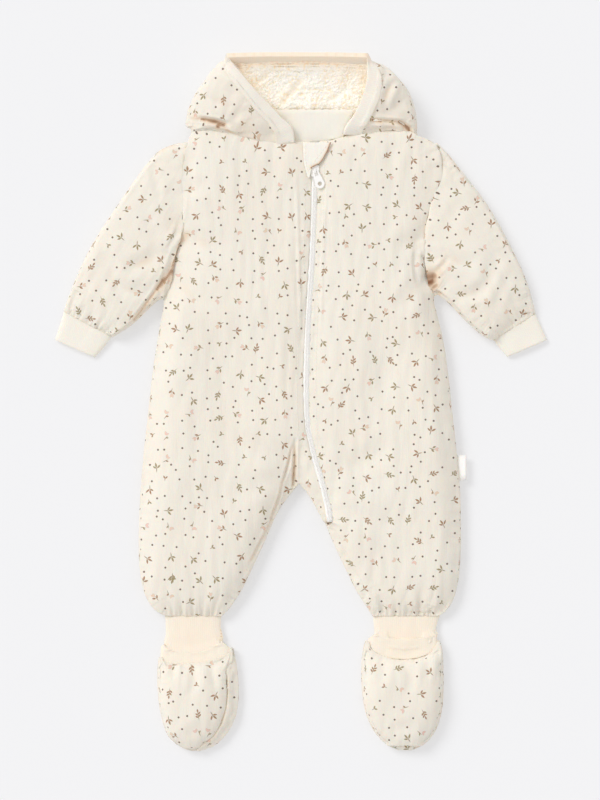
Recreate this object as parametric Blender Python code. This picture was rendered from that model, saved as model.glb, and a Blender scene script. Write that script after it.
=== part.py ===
"""Padded hooded pramsuit for a baby, with booties, laid flat on its back on a table.

The front panels lie on the back, the sleeves and legs are flattened tubes, and the hood is an
open bowl whose ribbed edge faces up. Only the zip's pull tab moves, on the slider's bridge.

Frame: +X towards the wearer's left, +Y towards the hood, +Z up from the table. The origin is
on the table, under the middle of the garment. "Right" and "left" are the wearer's own.
Every size below is in millimetres, and MM turns it into metres.
"""

from collections import Counter, namedtuple
from math import cos, hypot, pi, radians, sin

import bmesh
import bpy
import numpy as np
from mathutils import Matrix, Vector

MM = 0.001
GAP = 0.3  # between pieces that are sewn together or lie on each other
REST_GAP = 0.7  # between the front and the back where they lie on each other
NECK_CHORD = 9.0  # half of the longest straight piece along a neckline
ARMHOLE_CHORD = 6.0
WELD = 1e-4  # points closer than this are one point

# ---------------------------------------------------------------- driving sizes

SEAM_HEIGHT = 8.0  # a free side seam stands this far above the table
SEAM_WALL = 3.0  # each panel's thickness along such a seam
FRONT_ROLL = 26.0  # width over which the front rounds up from a side seam
BACK_ROLL = 13.0  # width over which the back rounds down from a side seam
ARMHOLE_HEIGHT = 20.0  # the front's height where a sleeve is set in
ARMHOLE_FOOT_Y = 112.0  # the armhole ends here, and the free side seam begins
ARMHOLE_FADE = 14.0
SWELL_HEIGHT = 0.8
SWELL_WIDTH = 19.0
SWELL_LENGTH = 29.0
NECK_DIP = 3.0  # how far the front sinks to its neckline
NECK_ROLL = 14.0

CROTCH_X = -2.0
CROTCH_Y = -82.0
CROTCH_ROOM = 1.6
CROTCH_REACH = 24.0
CHEST_Y = 190.0  # rows of cloth above this line bend towards the neckline
ANKLE_Y = -214.0
SIDE_COLUMNS = 8  # from a side seam to the line above the crotch
ZIP_COLUMNS = 2  # from that line to the zip
TONGUE_WIDTH = 20.0  # of the right front that runs past the crotch beside the zip

ZIP_HALF_GAP = 3.2
ZIP_DIP = 4.5  # how far the fronts sink to the zip
ZIP_ROLL = 16.0
ZIP_TOP_Y = 247.0
ZIP_END_Y = -121.0
TAPE_SINK = 2.6  # the tape's face lies this far below the fronts' edges
TAPE_THICKNESS = 1.2
CHAIN_WIDTH = 3.8
CHAIN_HEIGHT = 1.8

RIB_WALL = 2.2  # one layer of the cuffs' rib
RIB_LOFT = 6.0  # a flattened cuff, both layers
SLIT = 0.8  # between the layers of a flattened tube
SLEEVE_EDGE_WALL = 5.0
RING_POINTS = 16
RING_FLATNESS = 0.5  # 1 is an ellipse, and less is flatter

HOOD_MIDDLE_X = -3.0
HOOD_OUT_Z = 15.0  # height at which the hood is widest
HOOD_FOOT_INSET = 14.0
HOOD_PUFF = 0.62
HOOD_SHELL = 5.0
HOOD_LINING = 5.5
FLOOR_PILE = 8.0  # the pile stands this much deeper at the back of the head
HOOD_THIN = 2.8  # both layers, along the rib band and the neck seam
BAND_THICKNESS = 4.8
BAND_GAP = 0.9  # between the rib band and the hood, along their seam
LINING_GAP = 0.6  # between the hood's shell and its lining
BAND_STEPS = 2
SHELL_STEPS = 4
UNDER_STEPS = 2
FLOOR_STEPS = 2

FACING_Z = 12.9
FACING_RISE = 4.0  # from the neckline to its upper edge
FACING_THICKNESS = 1.4
FACING_TOP_Y = 287.0

BOOTIE_RIDGE = 4.5  # the sole's edge stands this far up beside the upper

# ---------------------------------------------------------------- tables of sections

Level = namedtuple("Level", "y loft")
LOFT = (
    Level(270.0, 24.0),
    Level(200.0, 25.0),
    Level(60.0, 26.0),
    Level(-60.0, 26.0),
    Level(-150.0, 24.0),
    Level(-184.0, 22.5),
    Level(-197.0, 21.0),
    Level(-206.0, 17.5),
    Level(-214.0, 9.5),
)

Outline = namedtuple("Outline", "y right left")
SIDES = (
    Outline(264.0, -111.0, 127.0),
    Outline(241.0, -115.0, 139.0),
    Outline(225.0, -117.0, 141.5),
    Outline(211.0, -117.0, 133.0),
    Outline(191.0, -116.0, 126.0),
    Outline(164.0, -117.0, 123.0),
    Outline(139.0, -126.0, 124.0),
    Outline(117.0, -132.0, 127.5),
    Outline(101.0, -134.5, 131.0),
    Outline(61.0, -143.0, 141.5),
    Outline(1.0, -150.5, 149.0),
    Outline(-59.0, -157.0, 155.5),
    Outline(-99.0, -160.0, 158.5),
    Outline(-149.0, -161.5, 159.0),
    Outline(-184.0, -158.0, 155.5),
    Outline(-201.0, -152.0, 151.0),
    Outline(-209.0, -146.0, 145.0),
    Outline(-214.0, -136.0, 138.5),
)

INSEAMS = (
    Outline(-82.0, -2.0, -2.0),
    Outline(-89.0, -8.0, 5.5),
    Outline(-99.0, -16.0, 11.0),
    Outline(-113.0, -26.0, 18.5),
    Outline(-129.0, -31.5, 28.0),
    Outline(-149.0, -41.0, 35.5),
    Outline(-169.0, -50.0, 46.0),
    Outline(-184.0, -57.0, 52.5),
    Outline(-199.0, -66.0, 61.5),
    Outline(-208.0, -72.5, 67.5),
    Outline(-214.0, -79.0, 71.5),
)

ZipPoint = namedtuple("ZipPoint", "y x")
ZIP_LINE = (
    ZipPoint(260.0, 14.2),
    ZipPoint(221.0, 13.6),
    ZipPoint(151.0, 11.5),
    ZipPoint(71.0, 6.5),
    ZipPoint(1.0, 5.0),
    ZipPoint(-24.0, 5.8),
    ZipPoint(-49.0, 11.5),
    ZipPoint(-64.0, 16.0),
    ZipPoint(-79.0, 20.5),
    ZipPoint(-99.0, 25.5),
    ZipPoint(-122.0, 29.5),
)

NeckPoint = namedtuple("NeckPoint", "x y")
FRONT_NECK = (
    NeckPoint(-111.0, 263.0),
    NeckPoint(-97.0, 270.5),
    NeckPoint(-82.0, 270.5),
    NeckPoint(-66.0, 264.0),
    NeckPoint(-49.0, 258.0),
    NeckPoint(-29.0, 255.5),
    NeckPoint(-11.0, 256.5),
    NeckPoint(12.0, 258.0),
    NeckPoint(29.0, 258.5),
    NeckPoint(37.0, 262.0),
    NeckPoint(59.0, 264.5),
    NeckPoint(79.0, 267.0),
    NeckPoint(91.0, 267.5),
    NeckPoint(104.0, 265.5),
    NeckPoint(116.0, 264.0),
    NeckPoint(127.0, 259.0),
)
BACK_NECK = (
    NeckPoint(-111.0, 263.0),
    NeckPoint(-3.0, 278.5),
    NeckPoint(127.0, 259.0),
)

# A trough in the front, from one point to another. Its depth fades towards both ends.
Fold = namedtuple("Fold", "x y to_x to_y width depth")
FOLDS = (
    Fold(-110.0, 184.0, -128.0, 104.0, 12.0, 7.0),
    Fold(122.0, 200.0, 124.0, 110.0, 11.0, 6.0),
    Fold(-9.0, -30.0, -5.0, -96.0, 12.0, 7.0),
    Fold(-12.0, -40.0, -34.0, -124.0, 13.0, 4.0),
    Fold(-56.0, 76.0, -98.0, -2.0, 18.0, 3.2),
    Fold(38.0, -10.0, 70.0, -90.0, 18.0, 3.2),
    Fold(66.0, 96.0, 100.0, 20.0, 18.0, 3.0),
)

# Gathers above an ankle: where they lie across it, from 0 to 1, and how deep.
Pleat = namedtuple("Pleat", "across depth")
ANKLE_PLEATS = (
    Pleat(0.0, 0.0),
    Pleat(0.11, 0.8),
    Pleat(0.22, 4.6),
    Pleat(0.33, 0.3),
    Pleat(0.44, 3.6),
    Pleat(0.56, 0.2),
    Pleat(0.67, 5.0),
    Pleat(0.78, 0.6),
    Pleat(0.89, 3.0),
    Pleat(1.0, 0.0),
)
PLEAT_TOP_Y = -168.0

# A flattened tube: each ring runs from a point on its upper edge, near the neck or the outer
# side, to one on its lower or inner edge. Its middle may bow ahead along the tube.
Ring = namedtuple("Ring", "x y to_x to_y loft lift bow")
RIGHT_SLEEVE = (
    Ring(-136.0, 256.0, -138.5, 103.0, 22.0, 0.0, 0.0),
    Ring(-154.0, 238.0, -145.0, 98.0, 22.5, 0.0, 0.0),
    Ring(-185.0, 192.0, -161.0, 82.0, 22.0, 0.0, 0.0),
    Ring(-200.0, 170.0, -170.0, 74.0, 21.5, 0.0, 0.0),
    Ring(-213.0, 147.0, -178.0, 69.0, 20.5, 0.0, 0.0),
    Ring(-225.0, 122.0, -184.0, 65.5, 18.0, 0.0, 0.0),
    Ring(-232.0, 104.0, -187.5, 64.0, 14.5, 0.0, 0.0),
    Ring(-237.0, 90.0, -189.0, 64.0, 9.0, 0.0, 0.0),
)
LEFT_SLEEVE = (
    Ring(145.0, 249.0, 136.5, 105.0, 22.0, 0.0, 0.0),
    Ring(159.0, 231.0, 146.0, 99.0, 22.5, 0.0, 0.0),
    Ring(186.0, 196.0, 163.0, 80.0, 22.0, 0.0, 0.0),
    Ring(198.0, 175.0, 171.0, 73.0, 21.5, 0.0, 0.0),
    Ring(210.0, 153.0, 179.0, 66.0, 20.5, 0.0, 0.0),
    Ring(222.0, 128.0, 186.0, 62.0, 18.0, 0.0, 0.0),
    Ring(229.5, 106.0, 190.0, 61.0, 14.5, 0.0, 0.0),
    Ring(234.0, 88.0, 192.0, 61.0, 9.0, 0.0, 0.0),
)
RIGHT_CUFF = (
    Ring(-236.9, 89.4, -189.6, 63.5, RIB_LOFT, 1.5, 0.0),
    Ring(-240.5, 77.0, -195.0, 55.0, RIB_LOFT, 0.6, 0.0),
    Ring(-246.0, 61.0, -206.0, 43.5, RIB_LOFT, 0.0, 0.0),
)
LEFT_CUFF = (
    Ring(234.0, 87.3, 192.2, 60.4, RIB_LOFT, 1.5, 0.0),
    Ring(239.0, 76.0, 198.0, 53.0, RIB_LOFT, 0.6, 0.0),
    Ring(246.0, 61.0, 206.0, 44.0, RIB_LOFT, 0.0, 0.0),
)
RIGHT_ANKLE = (
    Ring(-135.5, -214.5, -79.5, -214.5, RIB_LOFT, 1.7, 0.0),
    Ring(-135.0, -227.0, -80.5, -226.0, RIB_LOFT, 2.3, 0.0),
    Ring(-133.5, -238.0, -82.0, -236.0, RIB_LOFT, 3.0, 0.0),
    Ring(-131.0, -247.0, -84.0, -244.0, RIB_LOFT, 3.0, 7.0),
)
LEFT_ANKLE = (
    Ring(72.0, -214.5, 138.5, -214.5, RIB_LOFT, 1.7, 0.0),
    Ring(72.5, -224.0, 135.5, -223.0, RIB_LOFT, 2.3, 0.0),
    Ring(75.0, -231.0, 132.5, -231.0, RIB_LOFT, 3.0, 2.0),
    Ring(77.0, -237.5, 131.0, -237.5, RIB_LOFT, 3.0, 13.0),
)
RIGHT_BAND = (
    Ring(-139.5, -241.0, -76.0, -234.0, 12.0, 0.0, 13.5),
    Ring(-140.3, -249.0, -72.5, -240.0, 12.0, 0.0, 12.0),
    Ring(-140.8, -256.0, -69.0, -246.0, 12.5, 0.0, 10.0),
)
LEFT_BAND = (
    Ring(70.0, -231.0, 137.0, -231.0, 12.0, 0.0, 6.0),
    Ring(68.0, -235.0, 137.0, -235.0, 12.0, 0.0, 12.0),
    Ring(66.0, -239.0, 137.5, -239.0, 12.5, 0.0, 18.0),
)

# A bootie's outline: the sole's two edges, then how far inside its inner edge the upper ends.
BootieRow = namedtuple("BootieRow", "x y to_x to_y inset loft bow")
RIGHT_BOOTIE = (
    BootieRow(-141.0, -256.6, -68.7, -246.6, 0.0, 13.0, 10.0),
    BootieRow(-142.0, -266.0, -65.5, -262.0, 8.8, 19.0, 5.0),
    BootieRow(-142.3, -279.0, -63.2, -277.0, 9.8, 23.0, 2.0),
    BootieRow(-141.8, -293.0, -62.8, -293.0, 10.3, 24.0, 0.0),
    BootieRow(-140.0, -307.0, -64.0, -307.0, 10.6, 24.0, 0.0),
    BootieRow(-136.8, -320.0, -67.5, -320.0, 10.6, 23.0, 0.0),
    BootieRow(-133.5, -331.0, -74.0, -331.0, 11.0, 21.0, 0.0),
    BootieRow(-127.0, -339.5, -81.5, -339.5, 12.0, 17.5, 0.0),
    BootieRow(-117.0, -345.5, -90.0, -345.5, 13.0, 13.5, 0.0),
    BootieRow(-109.5, -348.0, -97.0, -348.0, 6.0, 10.5, 0.0),
)
LEFT_BOOTIE = (
    BootieRow(65.0, -239.8, 138.0, -239.8, 0.0, 13.0, 18.0),
    BootieRow(61.8, -252.0, 140.5, -250.0, 0.0, 19.0, 10.0),
    BootieRow(61.2, -266.0, 141.0, -266.0, 0.0, 23.0, 4.0),
    BootieRow(61.2, -281.0, 141.2, -281.0, 0.0, 24.0, 1.0),
    BootieRow(62.5, -296.0, 140.8, -296.0, 0.0, 24.0, 0.0),
    BootieRow(65.5, -311.0, 139.2, -311.0, 0.0, 23.5, 0.0),
    BootieRow(70.5, -324.0, 135.8, -324.0, 0.0, 22.0, 0.0),
    BootieRow(77.5, -335.0, 130.0, -335.0, 0.0, 19.0, 0.0),
    BootieRow(86.5, -343.0, 121.0, -343.0, 0.0, 15.0, 0.0),
    BootieRow(97.5, -347.5, 110.0, -347.5, 0.0, 10.8, 0.0),
)

# Gathers above a cuff: where they lie across the sleeve, and how deep for its thickness.
CUFF_PLEATS = (
    Pleat(0.0, 0.0),
    Pleat(0.15, 0.16),
    Pleat(0.31, 0.0),
    Pleat(0.5, 0.2),
    Pleat(0.69, 0.02),
    Pleat(0.85, 0.14),
    Pleat(1.0, 0.0),
)
GATHERED_RINGS = 3  # of a sleeve, next to its cuff

# The hood's sections: each runs from the rib band's edge, over the band's seam and the hood's
# widest point, and under it to the seam in the middle of the nape.
Section = namedtuple("Section", "rim_x rim_y rim_z seam_x seam_y seam_z out_x out_y nape_y")
RIGHT_HOOD = (
    Section(-6.0, 260.0, 24.0, -20.0, 255.0, 21.5, -110.5, 263.5, 278.3),
    Section(-9.0, 271.0, 29.0, -22.0, 267.0, 29.0, -116.0, 272.5, 284.0),
    Section(-19.0, 279.0, 32.0, -30.0, 277.5, 33.0, -115.0, 284.5, 289.5),
    Section(-30.0, 292.0, 35.0, -41.0, 288.0, 37.0, -110.0, 297.5, 295.0),
    Section(-41.0, 302.0, 38.0, -49.5, 298.0, 40.0, -103.5, 311.0, 300.0),
    Section(-53.0, 316.0, 41.0, -61.5, 313.0, 42.0, -95.0, 323.0, 305.0),
    Section(-66.0, 331.0, 43.0, -73.0, 325.0, 40.0, -85.0, 332.0, 310.0),
    Section(-74.0, 342.5, 44.0, -76.5, 336.0, 34.0, -78.0, 338.5, 314.5),
    Section(-44.0, 343.5, 43.5, -44.0, 339.5, 30.0, -44.0, 342.0, 319.0),
    Section(HOOD_MIDDLE_X, 343.5, 43.0, HOOD_MIDDLE_X, 339.5, 30.0, HOOD_MIDDLE_X, 342.0, 323.0),
)
LEFT_HOOD = (
    Section(43.0, 262.5, 24.0, 56.0, 262.5, 21.5, 116.0, 263.3, 278.3),
    Section(45.0, 270.5, 29.0, 58.5, 271.5, 29.0, 117.0, 274.5, 284.0),
    Section(51.0, 280.0, 32.0, 64.0, 281.0, 33.0, 115.5, 287.0, 289.5),
    Section(57.5, 293.0, 35.0, 70.0, 294.0, 37.0, 111.0, 301.0, 295.0),
    Section(62.0, 305.0, 38.0, 74.0, 306.0, 39.0, 105.5, 312.5, 300.0),
    Section(65.5, 318.0, 41.0, 76.0, 317.5, 41.0, 97.5, 322.5, 305.0),
    Section(67.0, 331.0, 43.0, 75.0, 328.0, 40.0, 86.5, 331.5, 310.0),
    Section(66.0, 342.5, 44.0, 69.5, 337.0, 35.0, 71.5, 339.5, 314.5),
    Section(36.0, 343.5, 43.5, 36.0, 339.5, 30.0, 36.0, 342.0, 319.0),
    Section(HOOD_MIDDLE_X, 343.5, 43.0, HOOD_MIDDLE_X, 339.5, 30.0, HOOD_MIDDLE_X, 342.0, 323.0),
)

# The flap over the zip's top, from its upper edge down to its tip.
FlapRow = namedtuple("FlapRow", "y right left")
CHIN_GUARD = (
    FlapRow(256.5, 2.0, 30.0),
    FlapRow(248.0, 2.0, 26.5),
    FlapRow(240.0, 2.6, 22.3),
    FlapRow(235.0, 3.3, 18.4),
    FlapRow(231.4, 3.9, 10.6),
    FlapRow(226.0, 5.0, 9.6),
    FlapRow(221.5, 6.8, 8.4),
)
FLAP_Z = 22.6
FLAP_THICKNESS = 1.8

# The side seam's plain folded tab.
TAB_TOP_Y = -54.0
TAB_END_Y = -79.0
TAB_END_X = 165.0
TAB_Z = 7.4
TAB_THICKNESS = 1.2

# Slider and pull, in the slider's own frame: the hinge's axis is the origin, and -Y points
# down the zip.
HINGE_X = 14.0
HINGE_Y = 228.3
HINGE_ABOVE_PLATE = 1.5
PULL_TURN = 20.0  # degrees that the pull hangs towards the wearer's left
SLIDER_WIDTH = 8.0
SLIDER_LENGTH = 11.0
SLIDER_PLATE = 1.2
FLANGE_THICKNESS = 0.5
BRIDGE_WIDTH = 1.3
BRIDGE_ROOM = 1.35  # half of the hole under the bridge
BRIDGE_WALL = 0.9
PULL_BAR = 1.5  # width and thickness of the bar under the bridge
PULL_TOP_WIDTH = 5.2
PULL_WINDOW_WIDTH = 3.4
PULL_WINDOW_LENGTH = 4.6
PULL_EYE_RADIUS = 4.7
PULL_EYE_Y = -13.6
PULL_HOLE_RADIUS = 2.1
PULL_FACETS = 24

Finish = namedtuple("Finish", "colour roughness metallic")
FINISHES = {
    "shell": Finish((0.86, 0.80, 0.70), 0.85, 0.0),
    "rib": Finish((0.90, 0.80, 0.66), 0.80, 0.0),
    "pile": Finish((0.90, 0.84, 0.72), 0.95, 0.0),
    "facing": Finish((0.90, 0.84, 0.74), 0.80, 0.0),
    "zip_tape": Finish((0.88, 0.88, 0.90), 0.70, 0.0),
    "zip_plastic": Finish((0.90, 0.90, 0.92), 0.35, 0.0),
    "tab": Finish((0.92, 0.92, 0.92), 0.60, 0.0),
}


# ---------------------------------------------------------------- curves and heights


def smooth_track(rows, value, key="y"):
    """A smooth function through one column of a table, which never overshoots its rows."""
    order = sorted(rows, key=lambda row: getattr(row, key))
    at = np.array([getattr(row, key) for row in order], float)
    level = np.array([getattr(row, value) for row in order], float)
    step = np.diff(at)
    slope = np.diff(level) / step
    tangent = np.zeros(len(at))
    before = slope[:-1]
    after = slope[1:]
    same_way = before * after > 0
    total = np.where(same_way, before + after, 1.0)
    tangent[1:-1] = np.where(same_way, 2 * before * after / total, 0.0)
    tangent[0] = slope[0]
    tangent[-1] = slope[-1]

    def track(where):
        place = np.clip(np.asarray(where, float), at[0], at[-1])
        i = np.clip(np.searchsorted(at, place) - 1, 0, len(step) - 1)
        t = (place - at[i]) / step[i]
        rise = level[i] + t * step[i] * tangent[i]
        bend = 3 * (level[i + 1] - level[i]) - step[i] * (2 * tangent[i] + tangent[i + 1])
        twist = 2 * (level[i] - level[i + 1]) + step[i] * (tangent[i] + tangent[i + 1])
        return rise + bend * t**2 + twist * t**3

    return track


side_right = smooth_track(SIDES, "right")
side_left = smooth_track(SIDES, "left")
inseam_right = smooth_track(INSEAMS, "right")
inseam_left = smooth_track(INSEAMS, "left")
loft_at = smooth_track(LOFT, "loft")
zip_x = smooth_track(ZIP_LINE, "x")
front_neck = smooth_track(FRONT_NECK, "y", key="x")
ankle_pleat = smooth_track(ANKLE_PLEATS, "depth", key="across")
cuff_pleat = smooth_track(CUFF_PLEATS, "depth", key="across")


def back_neck(x):
    """The back's neckline, straight on each side of its middle."""
    return np.interp(x, [point.x for point in BACK_NECK], [point.y for point in BACK_NECK])


def outermost(track, where, sign, room):
    """The furthest value of a track near each place, so that a straight piece clears it."""
    near = [sign * track(where + step) for step in np.linspace(-room, room, 7)]
    return sign * np.max(near, axis=0)


def ease(t):
    """Rise smoothly from 0 to 1."""
    t = np.clip(t, 0.0, 1.0)
    return t * t * (3 - 2 * t)


def quarter(t):
    """Rise from 0 to 1 as a quarter of a circle does, steep at first."""
    t = np.clip(t, 0.0, 1.0)
    return np.sqrt(1 - (1 - t) ** 2)


def mix(a, b, t):
    """Go from a to b as t goes from 0 to 1."""
    return a + (b - a) * t


def edge_room(x, y):
    """Distance from a point of the body or a leg to its nearest side edge."""
    in_legs = y < CROTCH_Y
    on_left_leg = in_legs & (x > CROTCH_X)
    on_right_leg = in_legs & ~on_left_leg
    right = np.where(on_left_leg, inseam_left(y), side_right(y))
    left = np.where(on_right_leg, inseam_right(y), side_left(y))
    room = np.minimum(x - right, left - x)
    to_crotch = np.hypot(x - CROTCH_X, y - CROTCH_Y)
    return np.maximum(np.where(in_legs, room, np.minimum(room, to_crotch)), 0.0)


def free_edge(y):
    """1 where the body's edge is a free side seam, and 0 where a sleeve is set in."""
    return ease((ARMHOLE_FOOT_Y + ARMHOLE_FADE - y) / ARMHOLE_FADE)


def plain_height(x, y):
    """The front's height before its folds, its neckline and its zip."""
    edge = mix(ARMHOLE_HEIGHT, SEAM_HEIGHT + SEAM_WALL, free_edge(y))
    full = loft_at(y)
    return edge * np.minimum(full / edge, 1.0) + np.maximum(full - edge, 0.0) * quarter(
        edge_room(x, y) / FRONT_ROLL
    )


def under_height(x, y):
    """The back's lower face: flat on the table, and turned up along free edges."""
    edge = (SEAM_HEIGHT - SEAM_WALL) * free_edge(y) * np.minimum(loft_at(y) / 20.0, 1.0)
    return edge * (1 - quarter(edge_room(x, y) / BACK_ROLL))


def meeting_height(x, y):
    """Where the front lies on the back."""
    return mix(under_height(x, y), plain_height(x, y), 0.5)


def fold_depth(x, y):
    """How deep the folds lie below the plain front."""
    depth = np.zeros(np.shape(x))
    for fold in FOLDS:
        along_x = fold.to_x - fold.x
        along_y = fold.to_y - fold.y
        length = hypot(along_x, along_y)
        along = ((x - fold.x) * along_x + (y - fold.y) * along_y) / length**2
        off = np.abs((x - fold.x) * along_y - (y - fold.y) * along_x) / length
        fade = np.where((along > 0) & (along < 1), np.sin(pi * np.clip(along, 0, 1)), 0.0)
        depth = np.maximum(depth, fold.depth * fade**0.6 * np.exp(-((off / fold.width) ** 2)))
    return depth


def padding_swell(x, y):
    """The padding's slow swells, which fade out towards the edges."""
    swell = np.sin(x / SWELL_WIDTH + 0.6 * np.sin(y / 37.0)) * np.sin(y / SWELL_LENGTH + 0.8)
    return SWELL_HEIGHT * swell * quarter(edge_room(x, y) / FRONT_ROLL)


def pleat_depth(x, y):
    """How deep the gathers lie above an ankle."""
    on_left_leg = x > CROTCH_X
    right = np.where(on_left_leg, inseam_left(y), side_right(y))
    left = np.where(on_left_leg, side_left(y), inseam_right(y))
    across = np.clip((x - right) / np.maximum(left - right, 1.0), 0.0, 1.0)
    reach = ease((PLEAT_TOP_Y - y) / (PLEAT_TOP_Y - ANKLE_Y) * 1.6)
    return ankle_pleat(across) * reach * np.where(y < PLEAT_TOP_Y, 1.0, 0.0)


def front_height(x, y):
    """The front's outer face."""
    neck_room = np.maximum(front_neck(x) - y, 0.0)
    neck = NECK_DIP * (1 - quarter(neck_room / NECK_ROLL))
    zip_room = np.maximum(np.abs(x - zip_x(y)) - ZIP_HALF_GAP, 0.0)
    beside_zip = ZIP_DIP * (1 - ease(zip_room / ZIP_ROLL)) * ease((y - ZIP_END_Y + 6) / 20)
    sunk = neck + beside_zip + fold_depth(x, y) + pleat_depth(x, y)
    raised = plain_height(x, y) + padding_swell(x, y)
    return np.maximum(raised - sunk, meeting_height(x, y) + SEAM_WALL)


# ---------------------------------------------------------------- solids


def weld(grids):
    """Number the points of grids that share edges, and list the faces between them."""
    seen = {}
    numbers = []
    faces = []
    for grid in grids:
        rows, columns = grid.shape[:2]
        number = np.empty((rows, columns), int)
        for place in np.ndindex(rows, columns):
            key = tuple(np.round(grid[place] / WELD).astype(int))
            number[place] = seen.setdefault(key, len(seen))
        numbers.append(number)
        for r in range(rows - 1):
            for c in range(columns - 1):
                ring = (number[r, c], number[r, c + 1], number[r + 1, c + 1], number[r + 1, c])
                corners = tuple(dict.fromkeys(int(corner) for corner in ring))
                if len(corners) > 2:
                    faces.append(corners)
    return numbers, faces


def spread(numbers, grids):
    """Put the points of grids in one list, by their numbers."""
    points = np.empty((1 + max(number.max() for number in numbers), 3))
    for number, grid in zip(numbers, grids):
        points[number] = grid
    return points


def cloth_normals(grids, towards):
    """Unit normals of welded grids at their points, on the side of one given place."""
    numbers, _ = weld(grids)
    points = spread(numbers, grids)
    normals = np.zeros_like(points)
    for number, grid in zip(numbers, grids):
        across = np.cross(grid[1:, 1:] - grid[:-1, :-1], grid[1:, :-1] - grid[:-1, 1:])
        middle = (grid[1:, 1:] + grid[:-1, :-1]) / 2
        if np.sum(across * (np.array(towards) - middle)) < 0:
            across = -across
        for corner in (number[:-1, :-1], number[1:, :-1], number[:-1, 1:], number[1:, 1:]):
            np.add.at(normals, corner, across)
    normals /= np.linalg.norm(normals, axis=1)[:, None]
    return [normals[number] for number in numbers]


def solid(name, outer, inner, finish):
    """Close the space between two layers of matching grids into one body."""
    numbers, faces = weld(outer)
    top = spread(numbers, outer)
    low = spread(numbers, inner)
    count = len(top)
    uses = Counter(
        tuple(sorted(edge)) for face in faces for edge in zip(face, face[1:] + face[:1])
    )
    rim = [edge for edge, times in uses.items() if times == 1]
    closed = list(faces)
    closed += [tuple(corner + count for corner in reversed(face)) for face in faces]
    closed += [(b, a, a + count, b + count) for a, b in rim]
    return mesh_object(name, np.vstack([top, low]), closed, finish)


def mesh_object(name, points, faces, finish):
    """Make one object from points in millimetres, smooth except at its edges."""
    mesh = bpy.data.meshes.new(name)
    mesh.from_pydata([tuple(point * MM) for point in points], [], faces)
    work = bmesh.new()
    work.from_mesh(mesh)
    bmesh.ops.recalc_face_normals(work, faces=work.faces)
    bmesh.ops.triangulate(work, faces=work.faces, quad_method="SHORT_EDGE")
    work.to_mesh(mesh)
    work.free()
    mesh.shade_smooth()
    mesh.set_sharp_from_angle(angle=radians(40))
    mesh.materials.append(bpy.data.materials[finish])
    made = bpy.data.objects.new(name, mesh)
    bpy.context.scene.collection.objects.link(made)
    made.parent = bpy.data.objects["pramsuit"]
    return made


def make_finishes():
    """One plain material for each finish."""
    for name, finish in FINISHES.items():
        material = bpy.data.materials.get(name) or bpy.data.materials.new(name)
        material.use_nodes = True
        shader = material.node_tree.nodes["Principled BSDF"]
        shader.inputs["Base Color"].default_value = (*finish.colour, 1.0)
        shader.inputs["Roughness"].default_value = finish.roughness
        shader.inputs["Metallic"].default_value = finish.metallic


# ---------------------------------------------------------------- body and legs


NECK_ROWS = (0.0, 0.12, 0.35, 0.65)
BODY_ROWS = tuple(np.linspace(CHEST_Y, CROTCH_Y, 11))
LEG_ROWS = (-82.0, -91.0, -104.0, -120.0, -125.0, -145.0, -166.0, -184.0, -198.0, -208.0)
LEG_ROWS += (ANKLE_Y,)


def neck_rows(right, left, neck, columns):
    """Rows of plan points that bend from the neckline to the chest line."""
    across = np.linspace(0.0, 1.0, columns + 1)
    top_y = neck(mix(right(262.0), left(262.0), across))
    rows = []
    for down in NECK_ROWS:
        y = mix(top_y, CHEST_Y, down)
        rows.append(np.stack([mix(right(y), left(y), across), y], axis=1))
    return rows


def straight_rows(right, left, heights, columns):
    """Rows of plan points across the body or a leg."""
    across = np.linspace(0.0, 1.0, columns + 1)
    return [
        np.stack([mix(right(y), left(y), across), np.full(columns + 1, y)], axis=1)
        for y in heights
    ]


def at_height(plan, height):
    """Lift plan points to a height that depends on their place."""
    x = plan[..., 0]
    y = plan[..., 1]
    return np.stack([x, y, height(x, y)], axis=-1)


def side_by_side(first, second):
    """Join rows of two neighbouring strips, which share a column."""
    return [np.vstack([a, b[1:]]) for a, b in zip(first, second)]


def front_edge_right(y):
    """The right front's edge along the zip."""
    return zip_x(y) - ZIP_HALF_GAP


def front_edge_left(y):
    """The left front's edge along the zip, and past its end along the inseam."""
    return np.where(np.asarray(y) > ZIP_END_Y - 1, zip_x(y) + ZIP_HALF_GAP, inseam_left(y))


def crotch_line(y):
    """The line above the crotch, along which the right front's tongue begins."""
    return mix(CROTCH_X, front_edge_right(y) - TONGUE_WIDTH, ease((y - CROTCH_Y) / 40))


def body_middle(y):
    """The back's middle line, which ends at the crotch."""
    return np.full(np.shape(y), CROTCH_X)


def panel_pair(name, plans, upper, lower):
    """A body panel between two height functions."""
    outer = [at_height(plan, upper) for plan in plans]
    inner = [at_height(plan, lower) for plan in plans]
    return solid(name, outer, inner, "shell")


def above_meeting(x, y):
    """The front's lower face."""
    return meeting_height(x, y) + rest_gap(x, y) / 2


def below_meeting(x, y):
    """The back's upper face."""
    return meeting_height(x, y) - rest_gap(x, y) / 2


def rest_gap(x, y):
    """Space between the front and the back, a little wider around the crotch's steep rise."""
    near = np.exp(-((np.hypot(x - CROTCH_X, y - CROTCH_Y) / CROTCH_REACH) ** 2))
    return REST_GAP + CROTCH_ROOM * near


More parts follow.
